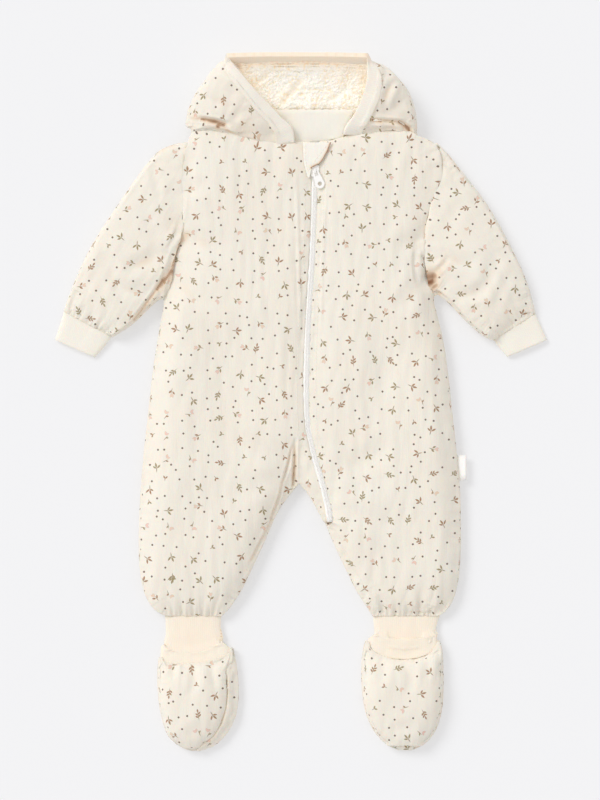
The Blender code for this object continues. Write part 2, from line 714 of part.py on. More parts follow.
def make_front_right():
    """The wearer's right front, with its leg and its tongue past the crotch."""
    upper = side_by_side(
        neck_rows(side_right, crotch_line, front_neck, SIDE_COLUMNS),
        neck_rows(crotch_line, front_edge_right, front_neck, ZIP_COLUMNS),
    )
    body = side_by_side(
        straight_rows(side_right, crotch_line, BODY_ROWS, SIDE_COLUMNS),
        straight_rows(crotch_line, front_edge_right, BODY_ROWS, ZIP_COLUMNS),
    )
    leg = straight_rows(side_right, inseam_right, LEG_ROWS, SIDE_COLUMNS)
    tongue_rows = tuple(y for y in LEG_ROWS if y > ZIP_END_Y) + (ZIP_END_Y + 1,)
    tongue = straight_rows(inseam_left, front_edge_right, tongue_rows, ZIP_COLUMNS)
    plans = [np.array(upper + body), np.array(leg), np.array(tongue)]
    return panel_pair("front_right", plans, front_height, above_meeting)


def make_front_left():
    """The wearer's left front, with its leg."""
    columns = SIDE_COLUMNS + 1
    upper = neck_rows(front_edge_left, side_left, front_neck, columns)
    heights = BODY_ROWS + LEG_ROWS[1:]
    lower = straight_rows(front_edge_left, side_left, heights, columns)
    return panel_pair("front_left", [np.array(upper + lower)], front_height, above_meeting)


def make_back():
    """The back with both legs, flat on the table."""
    upper = side_by_side(
        neck_rows(side_right, body_middle, back_neck, SIDE_COLUMNS),
        neck_rows(body_middle, side_left, back_neck, SIDE_COLUMNS),
    )
    body = side_by_side(
        straight_rows(side_right, body_middle, BODY_ROWS, SIDE_COLUMNS),
        straight_rows(body_middle, side_left, BODY_ROWS, SIDE_COLUMNS),
    )
    right_leg = straight_rows(side_right, inseam_right, LEG_ROWS, SIDE_COLUMNS)
    left_leg = straight_rows(inseam_left, side_left, LEG_ROWS, SIDE_COLUMNS)
    plans = [np.array(upper + body), np.array(right_leg), np.array(left_leg)]
    return panel_pair("back", plans, below_meeting, under_height)


# ---------------------------------------------------------------- sleeves, cuffs and ankles


def ring_loop(ring, inset, loft, gather=0.0):
    """One closed loop of a flattened tube, inset from its edges, around its middle height."""
    start = np.array([ring.x, ring.y])
    end = np.array([ring.to_x, ring.to_y])
    along = (end - start) / np.linalg.norm(end - start)
    ahead = np.array([along[1], -along[0]])
    if ahead[1] > 0:
        ahead = -ahead
    middle = ring.lift + ring.loft / 2
    loop = []
    for i in range(RING_POINTS + 1):
        turn = 2 * pi * i / RING_POINTS
        across = (1 - cos(turn)) / 2
        rise = sin(turn)
        full = abs(rise) ** RING_FLATNESS
        plan = mix(start + along * inset, end - along * inset, across)
        plan = plan + ahead * ring.bow * abs(rise)
        height = loft / 2 * full
        if rise > 0:
            height -= gather * loft * float(cuff_pleat(across))
        loop.append((*plan, middle + (height if rise > 0 else -height)))
    return np.array(loop)


def flat_tube(name, rings, wall, edge_wall, finish):
    """A flattened tube of cloth, open at both ends, with its layers almost together."""
    outer = [ring_loop(ring, 0.0, ring.loft) for ring in rings]
    inner = [ring_loop(ring, edge_wall, ring.loft - 2 * wall(ring)) for ring in rings]
    return solid(name, [np.array(outer)], [np.array(inner)], finish)


def rib_wall(ring):
    """A rib cuff's layer is as thick everywhere."""
    return RIB_WALL


def band_wall(ring):
    """A bootie's band stands open around the ankle cuff inside it."""
    return RIB_WALL


def padded_wall(ring):
    """A padded sleeve's layer fills the tube to its slit."""
    return (ring.loft - SLIT) / 2


def armhole_loop(side, outward, inset, loft):
    """A sleeve's first loop, which follows the armhole just outside the body."""
    loop = []
    top = 258.5
    foot = ARMHOLE_FOOT_Y - 2.0
    for i in range(RING_POINTS + 1):
        turn = 2 * pi * i / RING_POINTS
        across = (1 - cos(turn)) / 2
        rise = sin(turn)
        y = mix(top - inset, foot + inset, across)
        height = loft / 2 * abs(rise) ** RING_FLATNESS
        x = float(outermost(side, y, outward, ARMHOLE_CHORD)) + outward * GAP
        loop.append((x, y, ARMHOLE_HEIGHT / 2 + (height if rise > 0 else -height)))
    return np.array(loop)


def make_sleeve(name, rings, side, outward):
    """A padded sleeve from its armhole to its cuff."""
    outer = [armhole_loop(side, outward, 0.0, ARMHOLE_HEIGHT)]
    inner = [armhole_loop(side, outward, SLEEVE_EDGE_WALL, SLIT)]
    for i, ring in enumerate(rings):
        gather = max(0.0, 1 - (len(rings) - 1 - i) / GATHERED_RINGS)
        outer.append(ring_loop(ring, 0.0, ring.loft, gather))
        inner.append(ring_loop(ring, SLEEVE_EDGE_WALL, ring.loft - 2 * padded_wall(ring)))
    return solid(name, [np.array(outer)], [np.array(inner)], "shell")


# ---------------------------------------------------------------- booties


def bow_share(across):
    """How much of its row's bow a point has, from 0 at the edges to 1 in the middle."""
    return 2 * np.sqrt(np.clip(across * (1 - across), 0.0, 1.0))


def bootie_heights(row, place, width, upper_end):
    """Heights across a bootie: its top, where its panels meet, and its under side."""
    seam = min(SEAM_HEIGHT, row.loft / 2)
    wall = min(SEAM_WALL, row.loft / 4)
    room = np.minimum(place, upper_end - place)
    rise = quarter(np.maximum(room, 0.0) / min(22.0, 0.5 * width))
    top = seam + wall + (row.loft - seam - wall) * rise
    sole_room = np.minimum(place, width - place)
    under = (seam - wall) * (1 - quarter(sole_room / min(11.0, 0.4 * width)))
    return top, mix(under, top, 0.48), under


def make_bootie(side, rows):
    """A bootie's upper, lying on its sole, whose inner edge may show beside it."""
    across = (1 - np.cos(np.linspace(0.0, pi, RING_POINTS // 2 + 1))) / 2
    layers = {"top": [], "rest": [], "sole": [], "under": []}
    for row in rows:
        start = np.array([row.x, row.y])
        end = np.array([row.to_x, row.to_y])
        width = np.linalg.norm(end - start)
        along = (end - start) / width
        ahead = np.array([along[1], -along[0]])
        upper_end = width - row.inset
        upper_place = across * (upper_end - 0.5 * (row.inset > 0))
        ridge_from = upper_end + 0.5
        sole_place = across * width
        if rows[1].inset:
            inner_part = across * (upper_end - 0.2)
            ridge_part = np.linspace(ridge_from, width, 3)
            sole_place = np.append(inner_part, ridge_part)
        top, meet, _ = bootie_heights(row, upper_place, width, upper_end)
        upper_plan = start + np.outer(upper_place, along)
        upper_plan += np.outer(bow_share(upper_place / width), ahead * row.bow)
        layers["top"].append(np.column_stack([upper_plan, top]))
        layers["rest"].append(np.column_stack([upper_plan, meet + GAP / 2]))
        _, sole_top, under = bootie_heights(row, sole_place, width, upper_end)
        beside = sole_place > upper_end
        if row.inset:
            part = (sole_place - upper_end) / row.inset
            ridge = min(SEAM_HEIGHT, row.loft / 2) + BOOTIE_RIDGE * np.cos(part * pi / 2)
            sole_top = np.where(beside, ridge, sole_top)
        sole_plan = start + np.outer(sole_place, along)
        sole_plan += np.outer(bow_share(sole_place / width), ahead * row.bow)
        layers["sole"].append(np.column_stack([sole_plan, sole_top - GAP / 2]))
        layers["under"].append(np.column_stack([sole_plan, under]))
    upper = [np.array(layers["top"][:-1]), np.array(layers["rest"][:-1])]
    solid(f"bootie_upper_{side}", [upper[0]], [upper[1]], "shell")
    sole = [np.array(layers["sole"]), np.array(layers["under"])]
    solid(f"bootie_sole_{side}", [sole[0]], [sole[1]], "shell")


# ---------------------------------------------------------------- hood


def hood_row(section):
    """Points of one section of the hood, from the rib band's edge to the nape's seam."""
    rim = np.array([section.rim_x, section.rim_y, section.rim_z])
    seam = np.array([section.seam_x, section.seam_y, section.seam_z])
    out = np.array([section.out_x, section.out_y])
    nape = np.array([HOOD_MIDDLE_X, section.nape_y])
    reach = np.linalg.norm(nape - out)
    foot = out + (nape - out) * min(HOOD_FOOT_INSET / reach, 0.5)
    points = [mix(rim, seam, t) for t in np.linspace(0.0, 1.0, BAND_STEPS + 1)]
    for t in np.linspace(0.0, 1.0, SHELL_STEPS + 1)[1:]:
        angle = t * pi / 2
        plan = mix(seam[:2], out, sin(angle))
        height = mix(HOOD_OUT_Z, seam[2], max(cos(angle), 0.0) ** HOOD_PUFF)
        points.append((*plan, height))
    for t in np.linspace(0.0, 1.0, UNDER_STEPS + 1)[1:]:
        angle = t * pi / 2
        points.append((*mix(foot, out, cos(angle)), HOOD_OUT_Z * (1 - sin(angle))))
    for t in np.linspace(0.0, 1.0, FLOOR_STEPS + 1)[1:]:
        points.append((*mix(foot, nape, t), 0.0))
    return np.array(points)


def seat_on_neck(grid):
    """Set a hood layer's first row just behind the necklines of the front and the back."""
    seated = grid.copy()
    row = seated[0]
    widest = BAND_STEPS + SHELL_STEPS
    upper = np.arange(len(row)) <= widest + 1
    front = outermost(front_neck, row[:, 0], 1, NECK_CHORD)
    row[:, 1] = np.where(upper, front, back_neck(row[:, 0])) + GAP
    return seated


def clear_of_middle(grid, side):
    """Keep a half of the hood on its own side of the middle seam."""
    kept = grid.copy()
    if side < 0:
        kept[..., 0] = np.minimum(kept[..., 0], HOOD_MIDDLE_X - GAP / 2)
    else:
        kept[..., 0] = np.maximum(kept[..., 0], HOOD_MIDDLE_X + GAP / 2)
    return kept


def make_hood():
    """The hood's two shell halves, its pile lining and its rib band."""
    halves = [seat_on_neck(np.array([hood_row(s) for s in rows])) for rows in (RIGHT_HOOD, LEFT_HOOD)]
    normals = cloth_normals(halves, (HOOD_MIDDLE_X, 300.0, 40.0))
    rows, columns = halves[0].shape[:2]
    from_neck = np.clip(np.arange(rows) / 2, 0.0, 1.0)[:, None]
    from_band = np.clip((np.arange(columns) - BAND_STEPS) / 2, 0.0, 1.0)[None, :]
    fullness = from_neck * from_band
    shell = mix(HOOD_THIN, HOOD_SHELL, fullness)[..., None]
    on_floor = np.clip((np.arange(columns) - BAND_STEPS - SHELL_STEPS) / 2, 0.0, 1.0)[None, :]
    above_nape = np.clip((np.arange(rows) - 1) / 2, 0.0, 1.0)[:, None]
    depth = HOOD_LINING + FLOOR_PILE * on_floor * above_nape
    lining = mix(HOOD_THIN, depth, fullness)[..., None]
    cloth = slice(BAND_STEPS, None)
    lining_outer = []
    lining_inner = []
    for side, name, grid, normal in zip((-1, 1), ("right", "left"), halves, normals):
        inside = seat_on_neck(grid + normal * shell)
        outer = clear_of_middle(grid[:, cloth], side)
        inner = clear_of_middle(inside[:, cloth], side)
        solid(f"hood_{name}", [outer], [inner], "shell")
        lining_outer.append(seat_on_neck(grid + normal * (shell + LINING_GAP))[:, cloth])
        inside = seat_on_neck(grid + normal * (shell + LINING_GAP + lining))
        lining_inner.append(inside[:, cloth])
    for layer in (lining_outer, lining_inner):
        for half in layer:
            half[:, -1, 0] = HOOD_MIDDLE_X
            half[-1, :, 0] = HOOD_MIDDLE_X
        layer[1][:, -1] = layer[0][:, -1]
        layer[1][-1] = layer[0][-1]
    solid("hood_lining", lining_outer, lining_inner, "pile")
    make_band(halves, normals)


def make_band(halves, normals):
    """The rib band around the hood's opening, from neck to neck."""
    outer = []
    inner = []
    for grid, normal in zip(halves, normals):
        strip = grid[:, : BAND_STEPS + 1].copy()
        back = strip[:, 0] - strip[:, BAND_STEPS]
        back /= np.linalg.norm(back, axis=1)[:, None]
        strip[:, BAND_STEPS] += back * BAND_GAP
        outer.append(strip)
        inner.append(strip + normal[:, : BAND_STEPS + 1] * BAND_THICKNESS)
    for layer in (outer, inner):
        layer[0] = seat_on_neck(layer[0])
        layer[1] = seat_on_neck(layer[1])
        layer[1] = layer[1][::-1]
        layer[1][0] = layer[0][-1]
    around = np.concatenate([outer[0], outer[1][1:]])
    within = np.concatenate([inner[0], inner[1][1:]])
    solid("hood_band", [around], [within], "rib")


def make_neck_facing():
    """The plain facing over the nape, seen between the ends of the rib band."""
    rows = []
    for down in np.linspace(0.0, 1.0, 5):
        right = mix(-32.0, -14.0, down)
        left = mix(50.0, 40.0, down)
        x = np.linspace(right, left, 6)
        seat = outermost(front_neck, x, 1, NECK_CHORD) + 2 * GAP
        y = mix(np.full(6, FACING_TOP_Y), seat, down)
        z = np.full(6, FACING_Z + FACING_RISE * (1 - down))
        rows.append(np.stack([x, y, z], axis=1))
    lower = np.array(rows)
    upper = lower + (0.0, 0.0, FACING_THICKNESS)
    return solid("neck_facing", [upper], [lower], "facing")


# ---------------------------------------------------------------- zip, flap and tab


def zip_strip(name, right, left, low, high, finish):
    """A flat strip along the zip, between two offsets from its line and two depths."""
    rows = np.array((ZIP_TOP_Y, 228.0, 209.0) + BODY_ROWS + LEG_ROWS[1:4])
    bed = front_bed(rows)
    upper = []
    lower = []
    for y, z in zip(rows, bed):
        middle = float(zip_x(y))
        upper.append([(middle + right, y, z + high), (middle + left, y, z + high)])
        lower.append([(middle + right, y, z + low), (middle + left, y, z + low)])
    return solid(name, [np.array(upper)], [np.array(lower)], finish)


def front_bed(y):
    """Height of the fronts' edges along the zip."""
    return front_height(zip_x(y), np.asarray(y, float))


def make_zip():
    """Tapes and chain, sunk between the fronts."""
    outer = ZIP_HALF_GAP - GAP
    tape_low = -TAPE_SINK - TAPE_THICKNESS
    zip_strip("zip_tape_right", -outer, -GAP / 2, tape_low, -TAPE_SINK, "zip_tape")
    zip_strip("zip_tape_left", GAP / 2, outer, tape_low, -TAPE_SINK, "zip_tape")
    chain_low = -TAPE_SINK + GAP
    half = CHAIN_WIDTH / 2
    zip_strip("zip_chain", -half, half, chain_low, chain_low + CHAIN_HEIGHT, "zip_plastic")


def make_chin_guard():
    """The plain flap that covers the zip's top end."""
    rows = []
    for row in CHIN_GUARD:
        x = np.linspace(row.right, row.left, 5)
        y = np.full(5, row.y)
        z = np.maximum(front_height(x, y) + GAP, FLAP_Z)
        rows.append(np.stack([x, y, z], axis=1))
    lower = np.array(rows)
    upper = lower + (0.0, 0.0, FLAP_THICKNESS)
    return solid("chin_guard", [upper], [lower], "facing")


def make_side_tab():
    """A plain folded tab that stands out of the left side seam."""
    rows = []
    for y in (TAB_TOP_Y, TAB_END_Y):
        start = float(side_left(y)) + GAP
        rows.append([(start, y, TAB_Z), (TAB_END_X, y, TAB_Z)])
    lower = np.array(rows)
    upper = lower + (0.0, 0.0, TAB_THICKNESS)
    return solid("side_tab", [upper], [lower], "tab")


# ---------------------------------------------------------------- slider and pull


def box_points(low, high):
    """The eight corners of a box, in millimetres."""
    return [(x, y, z) for x in (low[0], high[0]) for y in (low[1], high[1]) for z in (low[2], high[2])]


def add_box(work, low, high):
    """Add one closed box to a mesh in the making."""
    corners = [work.verts.new(Vector(point) * MM) for point in box_points(low, high)]
    for face in ((0, 1, 3, 2), (4, 6, 7, 5), (0, 4, 5, 1), (2, 3, 7, 6), (0, 2, 6, 4), (1, 5, 7, 3)):
        work.faces.new([corners[i] for i in face])


def box_cutter(name, low, high):
    """A hidden box that cuts another object."""
    work = bmesh.new()
    add_box(work, low, high)
    return hidden_cutter(name, work)


def hidden_cutter(name, work):
    """Turn a mesh in the making into a hidden cutter."""
    bmesh.ops.recalc_face_normals(work, faces=work.faces)
    mesh = bpy.data.meshes.new(name)
    work.to_mesh(mesh)
    work.free()
    cutter = bpy.data.objects.new(name, mesh)
    cutter.hide_render = True
    cutter.display_type = "WIRE"
    bpy.context.scene.collection.objects.link(cutter)
    return cutter


def cut(body, cutter, operation="DIFFERENCE"):
    """Cut or join one object with another, kept as a modifier."""
    change = body.modifiers.new(cutter.name, "BOOLEAN")
    change.operation = operation
    change.object = cutter
    cutter.parent = body.parent
    cutter.matrix_world = body.matrix_world


def place(made, turn):
    """Put a hardware piece with its origin on the hinge's axis."""
    height = float(front_bed(HINGE_Y)) + SLIDER_PLATE + 2 * GAP + HINGE_ABOVE_PLATE
    made.location = Vector((HINGE_X, HINGE_Y, height)) * MM
    made.rotation_euler = (0.0, 0.0, radians(turn))
    bpy.context.view_layer.update()


def plain_box_object(name, low, high, finish, turn):
    """A box-shaped piece of the hardware, placed on the hinge."""
    work = bmesh.new()
    add_box(work, low, high)
    bmesh.ops.recalc_face_normals(work, faces=work.faces)
    mesh = bpy.data.meshes.new(name)
    work.to_mesh(mesh)
    work.free()
    mesh.materials.append(bpy.data.materials[finish])
    made = bpy.data.objects.new(name, mesh)
    bpy.context.scene.collection.objects.link(made)
    made.parent = bpy.data.objects["pramsuit"]
    place(made, turn)
    return made


def make_slider():
    """The slider: a plate over the chain, two flanges beside it and a bridge for the pull."""
    plate_top = -HINGE_ABOVE_PLATE
    plate_low = plate_top - SLIDER_PLATE
    half = SLIDER_WIDTH / 2
    rear = SLIDER_LENGTH / 2
    slider = plain_box_object(
        "zip_slider", (-half, -rear, plate_low), (half, rear, plate_top), "zip_plastic", 0.0
    )
    flange_out = ZIP_HALF_GAP - 1.5 * GAP
    flange_in = flange_out - FLANGE_THICKNESS
    for side in (-1, 1):
        across = sorted((side * flange_in, side * flange_out))
        low = (across[0], -rear + 1.0, plate_low - 1.6)
        high = (across[1], rear - 1.0, plate_low + 0.4)
        cut(slider, box_cutter(f"flange_{side}", low, high), "UNION")
    reach = BRIDGE_ROOM + BRIDGE_WALL
    low = (-BRIDGE_WIDTH / 2, -reach, plate_top - 0.4)
    high = (BRIDGE_WIDTH / 2, reach, reach)
    cut(slider, box_cutter("bridge", low, high), "UNION")
    low = (-BRIDGE_WIDTH, -BRIDGE_ROOM, plate_top)
    high = (BRIDGE_WIDTH, BRIDGE_ROOM, BRIDGE_ROOM)
    cut(slider, box_cutter("bridge_hole", low, high))
    return slider


def make_pull():
    """The pull: a flat drop with a round hole, hung by a bar under the slider's bridge."""
    half_bar = PULL_BAR / 2
    half_top = PULL_TOP_WIDTH / 2
    work = bmesh.new()
    outline = [(half_top, half_bar), (-half_top, half_bar)]
    for i in range(PULL_FACETS + 1):
        angle = pi + pi * i / PULL_FACETS
        outline.append((PULL_EYE_RADIUS * cos(angle), PULL_EYE_Y + PULL_EYE_RADIUS * sin(angle)))
    low = [work.verts.new(Vector((x, y, -half_bar)) * MM) for x, y in outline]
    high = [work.verts.new(Vector((x, y, half_bar)) * MM) for x, y in outline]
    work.faces.new(low)
    work.faces.new(high)
    for i in range(len(outline)):
        j = (i + 1) % len(outline)
        work.faces.new((low[i], low[j], high[j], high[i]))
    bmesh.ops.recalc_face_normals(work, faces=work.faces)
    mesh = bpy.data.meshes.new("zip_pull")
    work.to_mesh(mesh)
    work.free()
    mesh.materials.append(bpy.data.materials["zip_plastic"])
    pull = bpy.data.objects.new("zip_pull", mesh)
    bpy.context.scene.collection.objects.link(pull)
    pull.parent = bpy.data.objects["pramsuit"]
    place(pull, PULL_TURN)
    half_window = PULL_WINDOW_WIDTH / 2
    low_corner = (-half_window, -half_bar - PULL_WINDOW_LENGTH, -2 * PULL_BAR)
    high_corner = (half_window, -half_bar, 2 * PULL_BAR)
    cut(pull, box_cutter("pull_window", low_corner, high_corner))
    hole = bmesh.new()
    bmesh.ops.create_cone(
        hole,
        cap_ends=True,
        segments=PULL_FACETS,
        radius1=PULL_HOLE_RADIUS * MM,
        radius2=PULL_HOLE_RADIUS * MM,
        depth=4 * PULL_BAR * MM,
        matrix=Matrix.Translation(Vector((0.0, PULL_EYE_Y, 0.0)) * MM),
    )
    cut(pull, hidden_cutter("pull_hole", hole))
    return pull


# ---------------------------------------------------------------- the whole garment


def clear_scene():
    """Start from an empty scene."""
    for old in list(bpy.data.objects):
        bpy.data.objects.remove(old, do_unlink=True)


def main():
    """Build every piece in order."""
    clear_scene()
    make_finishes()
    holder = bpy.data.objects.new("pramsuit", None)
    bpy.context.scene.collection.objects.link(holder)
    make_front_right()
    make_front_left()
    make_back()
    make_sleeve("sleeve_right", RIGHT_SLEEVE, side_right, -1)
    make_sleeve("sleeve_left", LEFT_SLEEVE, side_left, 1)
    for side, cuff, ankle, band in (
        ("right", RIGHT_CUFF, RIGHT_ANKLE, RIGHT_BAND),
        ("left", LEFT_CUFF, LEFT_ANKLE, LEFT_BAND),
    ):
        flat_tube(f"cuff_{side}", cuff, rib_wall, RIB_WALL, "rib")
        flat_tube(f"ankle_{side}", ankle, rib_wall, RIB_WALL, "rib")
        flat_tube(f"bootie_band_{side}", band, band_wall, RIB_WALL, "rib")
    make_bootie("right", RIGHT_BOOTIE)
    make_bootie("left", LEFT_BOOTIE)
    make_hood()
    make_neck_facing()
    make_zip()
    make_chin_guard()
    make_side_tab()
    make_slider()
    make_pull()


main()
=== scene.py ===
"""Looks of a padded, printed baby pramsuit laid flat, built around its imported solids.

Places in the tables are in millimetres: +X towards the wearer's left, +Y towards the hood.
"""

import logging
import math
from dataclasses import dataclass, field
from enum import Enum

import bmesh
import bpy
import numpy as np
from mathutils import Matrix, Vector
from mathutils.bvhtree import BVHTree
from mathutils.kdtree import KDTree

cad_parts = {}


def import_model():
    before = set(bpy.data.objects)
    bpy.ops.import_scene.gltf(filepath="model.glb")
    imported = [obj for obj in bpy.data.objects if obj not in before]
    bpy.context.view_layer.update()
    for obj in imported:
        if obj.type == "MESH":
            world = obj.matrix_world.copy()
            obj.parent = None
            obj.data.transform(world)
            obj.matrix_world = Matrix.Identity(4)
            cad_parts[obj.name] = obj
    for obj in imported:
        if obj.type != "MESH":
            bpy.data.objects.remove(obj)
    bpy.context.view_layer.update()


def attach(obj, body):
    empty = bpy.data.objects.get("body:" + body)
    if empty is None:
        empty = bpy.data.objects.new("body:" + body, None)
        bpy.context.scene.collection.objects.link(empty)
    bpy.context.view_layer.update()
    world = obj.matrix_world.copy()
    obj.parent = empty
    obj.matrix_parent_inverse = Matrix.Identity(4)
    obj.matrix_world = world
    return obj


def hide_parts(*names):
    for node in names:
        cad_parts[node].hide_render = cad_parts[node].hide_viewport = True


LOG = logging.getLogger("pramsuit")
MM = 0.001
SUIT = "suit"
CLOTH_MAP = "cloth"
FOLD_SHADE = "fold_shade"
CLOTH_NODES = tuple(
    "front_right front_left back sleeve_right sleeve_left cuff_right cuff_left hood_right"
    " hood_left hood_lining hood_band neck_facing chin_guard ankle_right ankle_left"
    " bootie_upper_right bootie_upper_left bootie_sole_right bootie_sole_left"
    " bootie_band_right bootie_band_left side_tab zip_tape_right zip_tape_left".split()
)
SEWN_AT_ONE_EDGE = {"chin_guard", "side_tab"}
MAP_UNIT = 100.0  # millimetres of cloth in one unit of its map
ABOVE_ALL = 0.2  # metres, higher than any piece
NOWHERE = 9.0  # metres, farther than any search

Place = tuple[float, float]
Row = tuple[float, ...]


# ------------------------------------------------------------------ cloth shape


def gradient_noise(x: np.ndarray, y: np.ndarray, seed: int) -> np.ndarray:
    """Smooth plane noise with cells one unit wide.

    Args:
        x: First coordinate of each place.
        y: Second coordinate of each place.
        seed: Number that picks the noise.

    Returns:
        Values from about -1 to 1.
    """
    shuffle = np.random.default_rng(seed).permutation(256)
    turns = np.arange(256) * (2 * math.pi / 256)
    left, low = np.floor(x).astype(int), np.floor(y).astype(int)
    fx, fy = x - left, y - low

    def corner(i: int, j: int) -> np.ndarray:
        """Slope of one corner's gradient at each place."""
        turn = turns[shuffle[(left + i + shuffle[(low + j) & 255]) & 255]]
        return np.cos(turn) * (fx - i) + np.sin(turn) * (fy - j)

    sx, sy = (f**3 * (f * (f * 6 - 15) + 10) for f in (fx, fy))
    lower = corner(0, 0) * (1 - sx) + corner(1, 0) * sx
    upper = corner(0, 1) * (1 - sx) + corner(1, 1) * sx
    return (lower * (1 - sy) + upper * sy) * 1.5


def nearness(plan: np.ndarray, x: float, y: float, reach: float, power: int = 2) -> np.ndarray:
    """How near each point is to a place: 1 there, and close to 0 beyond its reach."""
    away = np.hypot(plan[:, 0] - x, plan[:, 1] - y) / reach
    return np.exp(-(away**power))


@dataclass
class Points:
    """A refined cloth's points, one row each."""

    places: np.ndarray  # metres, moved in place
    plan: np.ndarray  # millimetres, as they were before the creases
    normals: np.ndarray
    gap: np.ndarray  # millimetres from the nearest rim
    edges: np.ndarray  # pairs of point numbers
    fold: np.ndarray  # painted shade of the folds and seams, from 0 to 1


@dataclass(frozen=True)
class Crease:
    """A soft trough between raised shoulders, or a ridge where its depth is negative."""

    x: float
    y: float
    to_x: float
    to_y: float
    width: float
    depth: float
    bend: float = 0.0
    from_seam: bool = False

    def height_at(self, places: np.ndarray) -> np.ndarray:
        """Change of height at each place.

        Args:
            places: Plan points, one row each.

        Returns:
            Millimetres, negative in the trough.
        """
        way = np.array([self.to_x - self.x, self.to_y - self.y], float)
        length = float(np.linalg.norm(way))
        way /= length
        rest = places - np.array([self.x, self.y])
        along = rest @ way / length
        inside = np.clip(along, 0.0, 1.0)
        across = rest @ np.array([-way[1], way[0]]) - self.bend * 4 * inside * (1 - inside)
        off = np.abs(across) / (self.width * (1.0 + 0.5 * inside * self.from_seam))
        if self.from_seam:
            fade = np.where(along < 1, (1 - inside) ** 1.3, 0.0) * (along > -0.35)
        else:
            fade = np.sin(math.pi * inside) ** 0.7
        shoulder = np.exp(-(((off - 1.75) / 0.8) ** 2))
        return -self.depth * fade * (np.exp(-(off**2)) - 0.38 * shoulder)

    def reaches(self, x: float, y: float) -> bool:
        """Whether a plan place is close enough to need a fine mesh.

        Args:
            x: The place's first coordinate.
            y: Its second.

        Returns:
            True inside the crease and its shoulders.
        """
        way = (self.to_x - self.x, self.to_y - self.y)
        span = way[0] ** 2 + way[1] ** 2
        part = ((x - self.x) * way[0] + (y - self.y) * way[1]) / span
        part = min(1.0, max(0.0, part))
        off = math.hypot(x - self.x - part * way[0], y - self.y - part * way[1])
        return off < 2.4 * self.width + 1.5 + abs(self.bend) * 0.5


def creases(*rows: Row) -> tuple[Crease, ...]:
    """Creases from rows of x, y, to x, to y, width, depth and bend."""
    return tuple(Crease(*row) for row in rows)


@dataclass(frozen=True)
class Nudge:
    """A place where a seam's edges are moved up, and given more or less painted shade."""

    x: float
    y: float
    reach: float
    up: float = 0.0
    warmth: float = 0.0


@dataclass(frozen=True)
class Hollow:
    """A place painted with warm shade, as cloth deep in a fold looks."""

    x: float
    y: float
    reach: float
    warmth: float


def hollows(*rows: Row) -> tuple[Hollow, ...]:
    """Places of painted warm shade from rows of x, y, reach and painted shade."""
    return tuple(Hollow(*row) for row in rows)


def painted_shade_line(reach: float, warmth: float, *corners: Place) -> tuple[Hollow, ...]:
    """Places of painted warm shade one after the other along a line.

    Args:
        reach: Reach of each place.
        warmth: Their painted shade.
        corners: The line's corners.

    Returns:
        The places.
    """
    made = []
    for (x, y), (to_x, to_y) in zip(corners, corners[1:]):
        steps = max(1, round(math.hypot(to_x - x, to_y - y) / (reach * 0.8)))
        for i in range(steps + 1):
            part = i / steps
            made.append(Hollow(x + (to_x - x) * part, y + (to_y - y) * part, reach, warmth))
    return tuple(made)


@dataclass(frozen=True)
class Slope:
    """A heap of pile that climbs to a wall between two lines across the hood."""

    low_y: float
    high_y: float
    low_z: float
    high_z: float

    def raise_pile(self, points: Points, rise: np.ndarray) -> None:
        """Raise the pile's points to the heap.

        Args:
            points: The pile's points.
            rise: Their unevenness in millimetres.
        """
        climb = np.clip((points.plan[:, 1] - self.low_y) / (self.high_y - self.low_y), 0.0, 1.0)
        heap = self.low_z + (self.high_z - self.low_z) * climb**1.5
        heap += np.minimum(rise, 1.5) * np.clip((0.92 - climb) / 0.2, 0.0, 1.0)
        heights = points.places[:, 2]
        inside = (points.normals[:, 2] > 0.15) & (climb > 0) & (points.gap > 0.4)
        points.places[:, 2] = np.where(inside, np.maximum(heights, heap * MM), heights)


@dataclass(frozen=True)
class Gather:
    """Pleats that run into the cloth from a seam it is gathered into."""

    x: float
    y: float
    to_x: float
    to_y: float
    reach: float
    strength: float = 1.0
    mirrored: bool = False

    # across, half width, depth, share of the reach, lean
    PLEATS = (
        (0.05, 2.2, 1.3, 0.45, -0.30),
        (0.14, 1.8, 2.0, 0.80, -0.22),
        (0.22, 1.6, 1.2, 0.40, -0.10),
        (0.31, 2.3, 2.6, 1.00, -0.12),
        (0.41, 1.7, 1.5, 0.55, 0.02),
        (0.49, 2.1, 2.2, 0.75, -0.05),
        (0.58, 1.6, 1.3, 0.42, 0.08),
        (0.67, 2.4, 2.8, 0.95, 0.10),
        (0.77, 1.7, 1.6, 0.50, 0.16),
        (0.86, 2.0, 2.2, 0.85, 0.24),
        (0.95, 1.8, 1.2, 0.40, 0.32),
    )
    PLEATED_LENGTH = 60.0  # the seam's length that the widths are for

    def creases(self) -> tuple[Crease, ...]:
        """One crease for each pleat.

        Returns:
            The creases, from the seam on.
        """
        seam = np.array([self.to_x - self.x, self.to_y - self.y])
        length = float(np.linalg.norm(seam))
        ahead = np.array([-seam[1], seam[0]]) / length * math.copysign(1.0, self.reach)
        scale = length / self.PLEATED_LENGTH
        folds = []
        for across, width, depth, share, lean in self.PLEATS:
            part = 1 - across if self.mirrored else across
            sway = -lean if self.mirrored else lean
            start = np.array([self.x, self.y]) + seam * part
            end = start + (ahead + seam / length * sway) * abs(self.reach) * share
            depth *= self.strength
            folds.append(Crease(*start, *end, width * scale, depth, sway * 4, True))
        return tuple(folds)


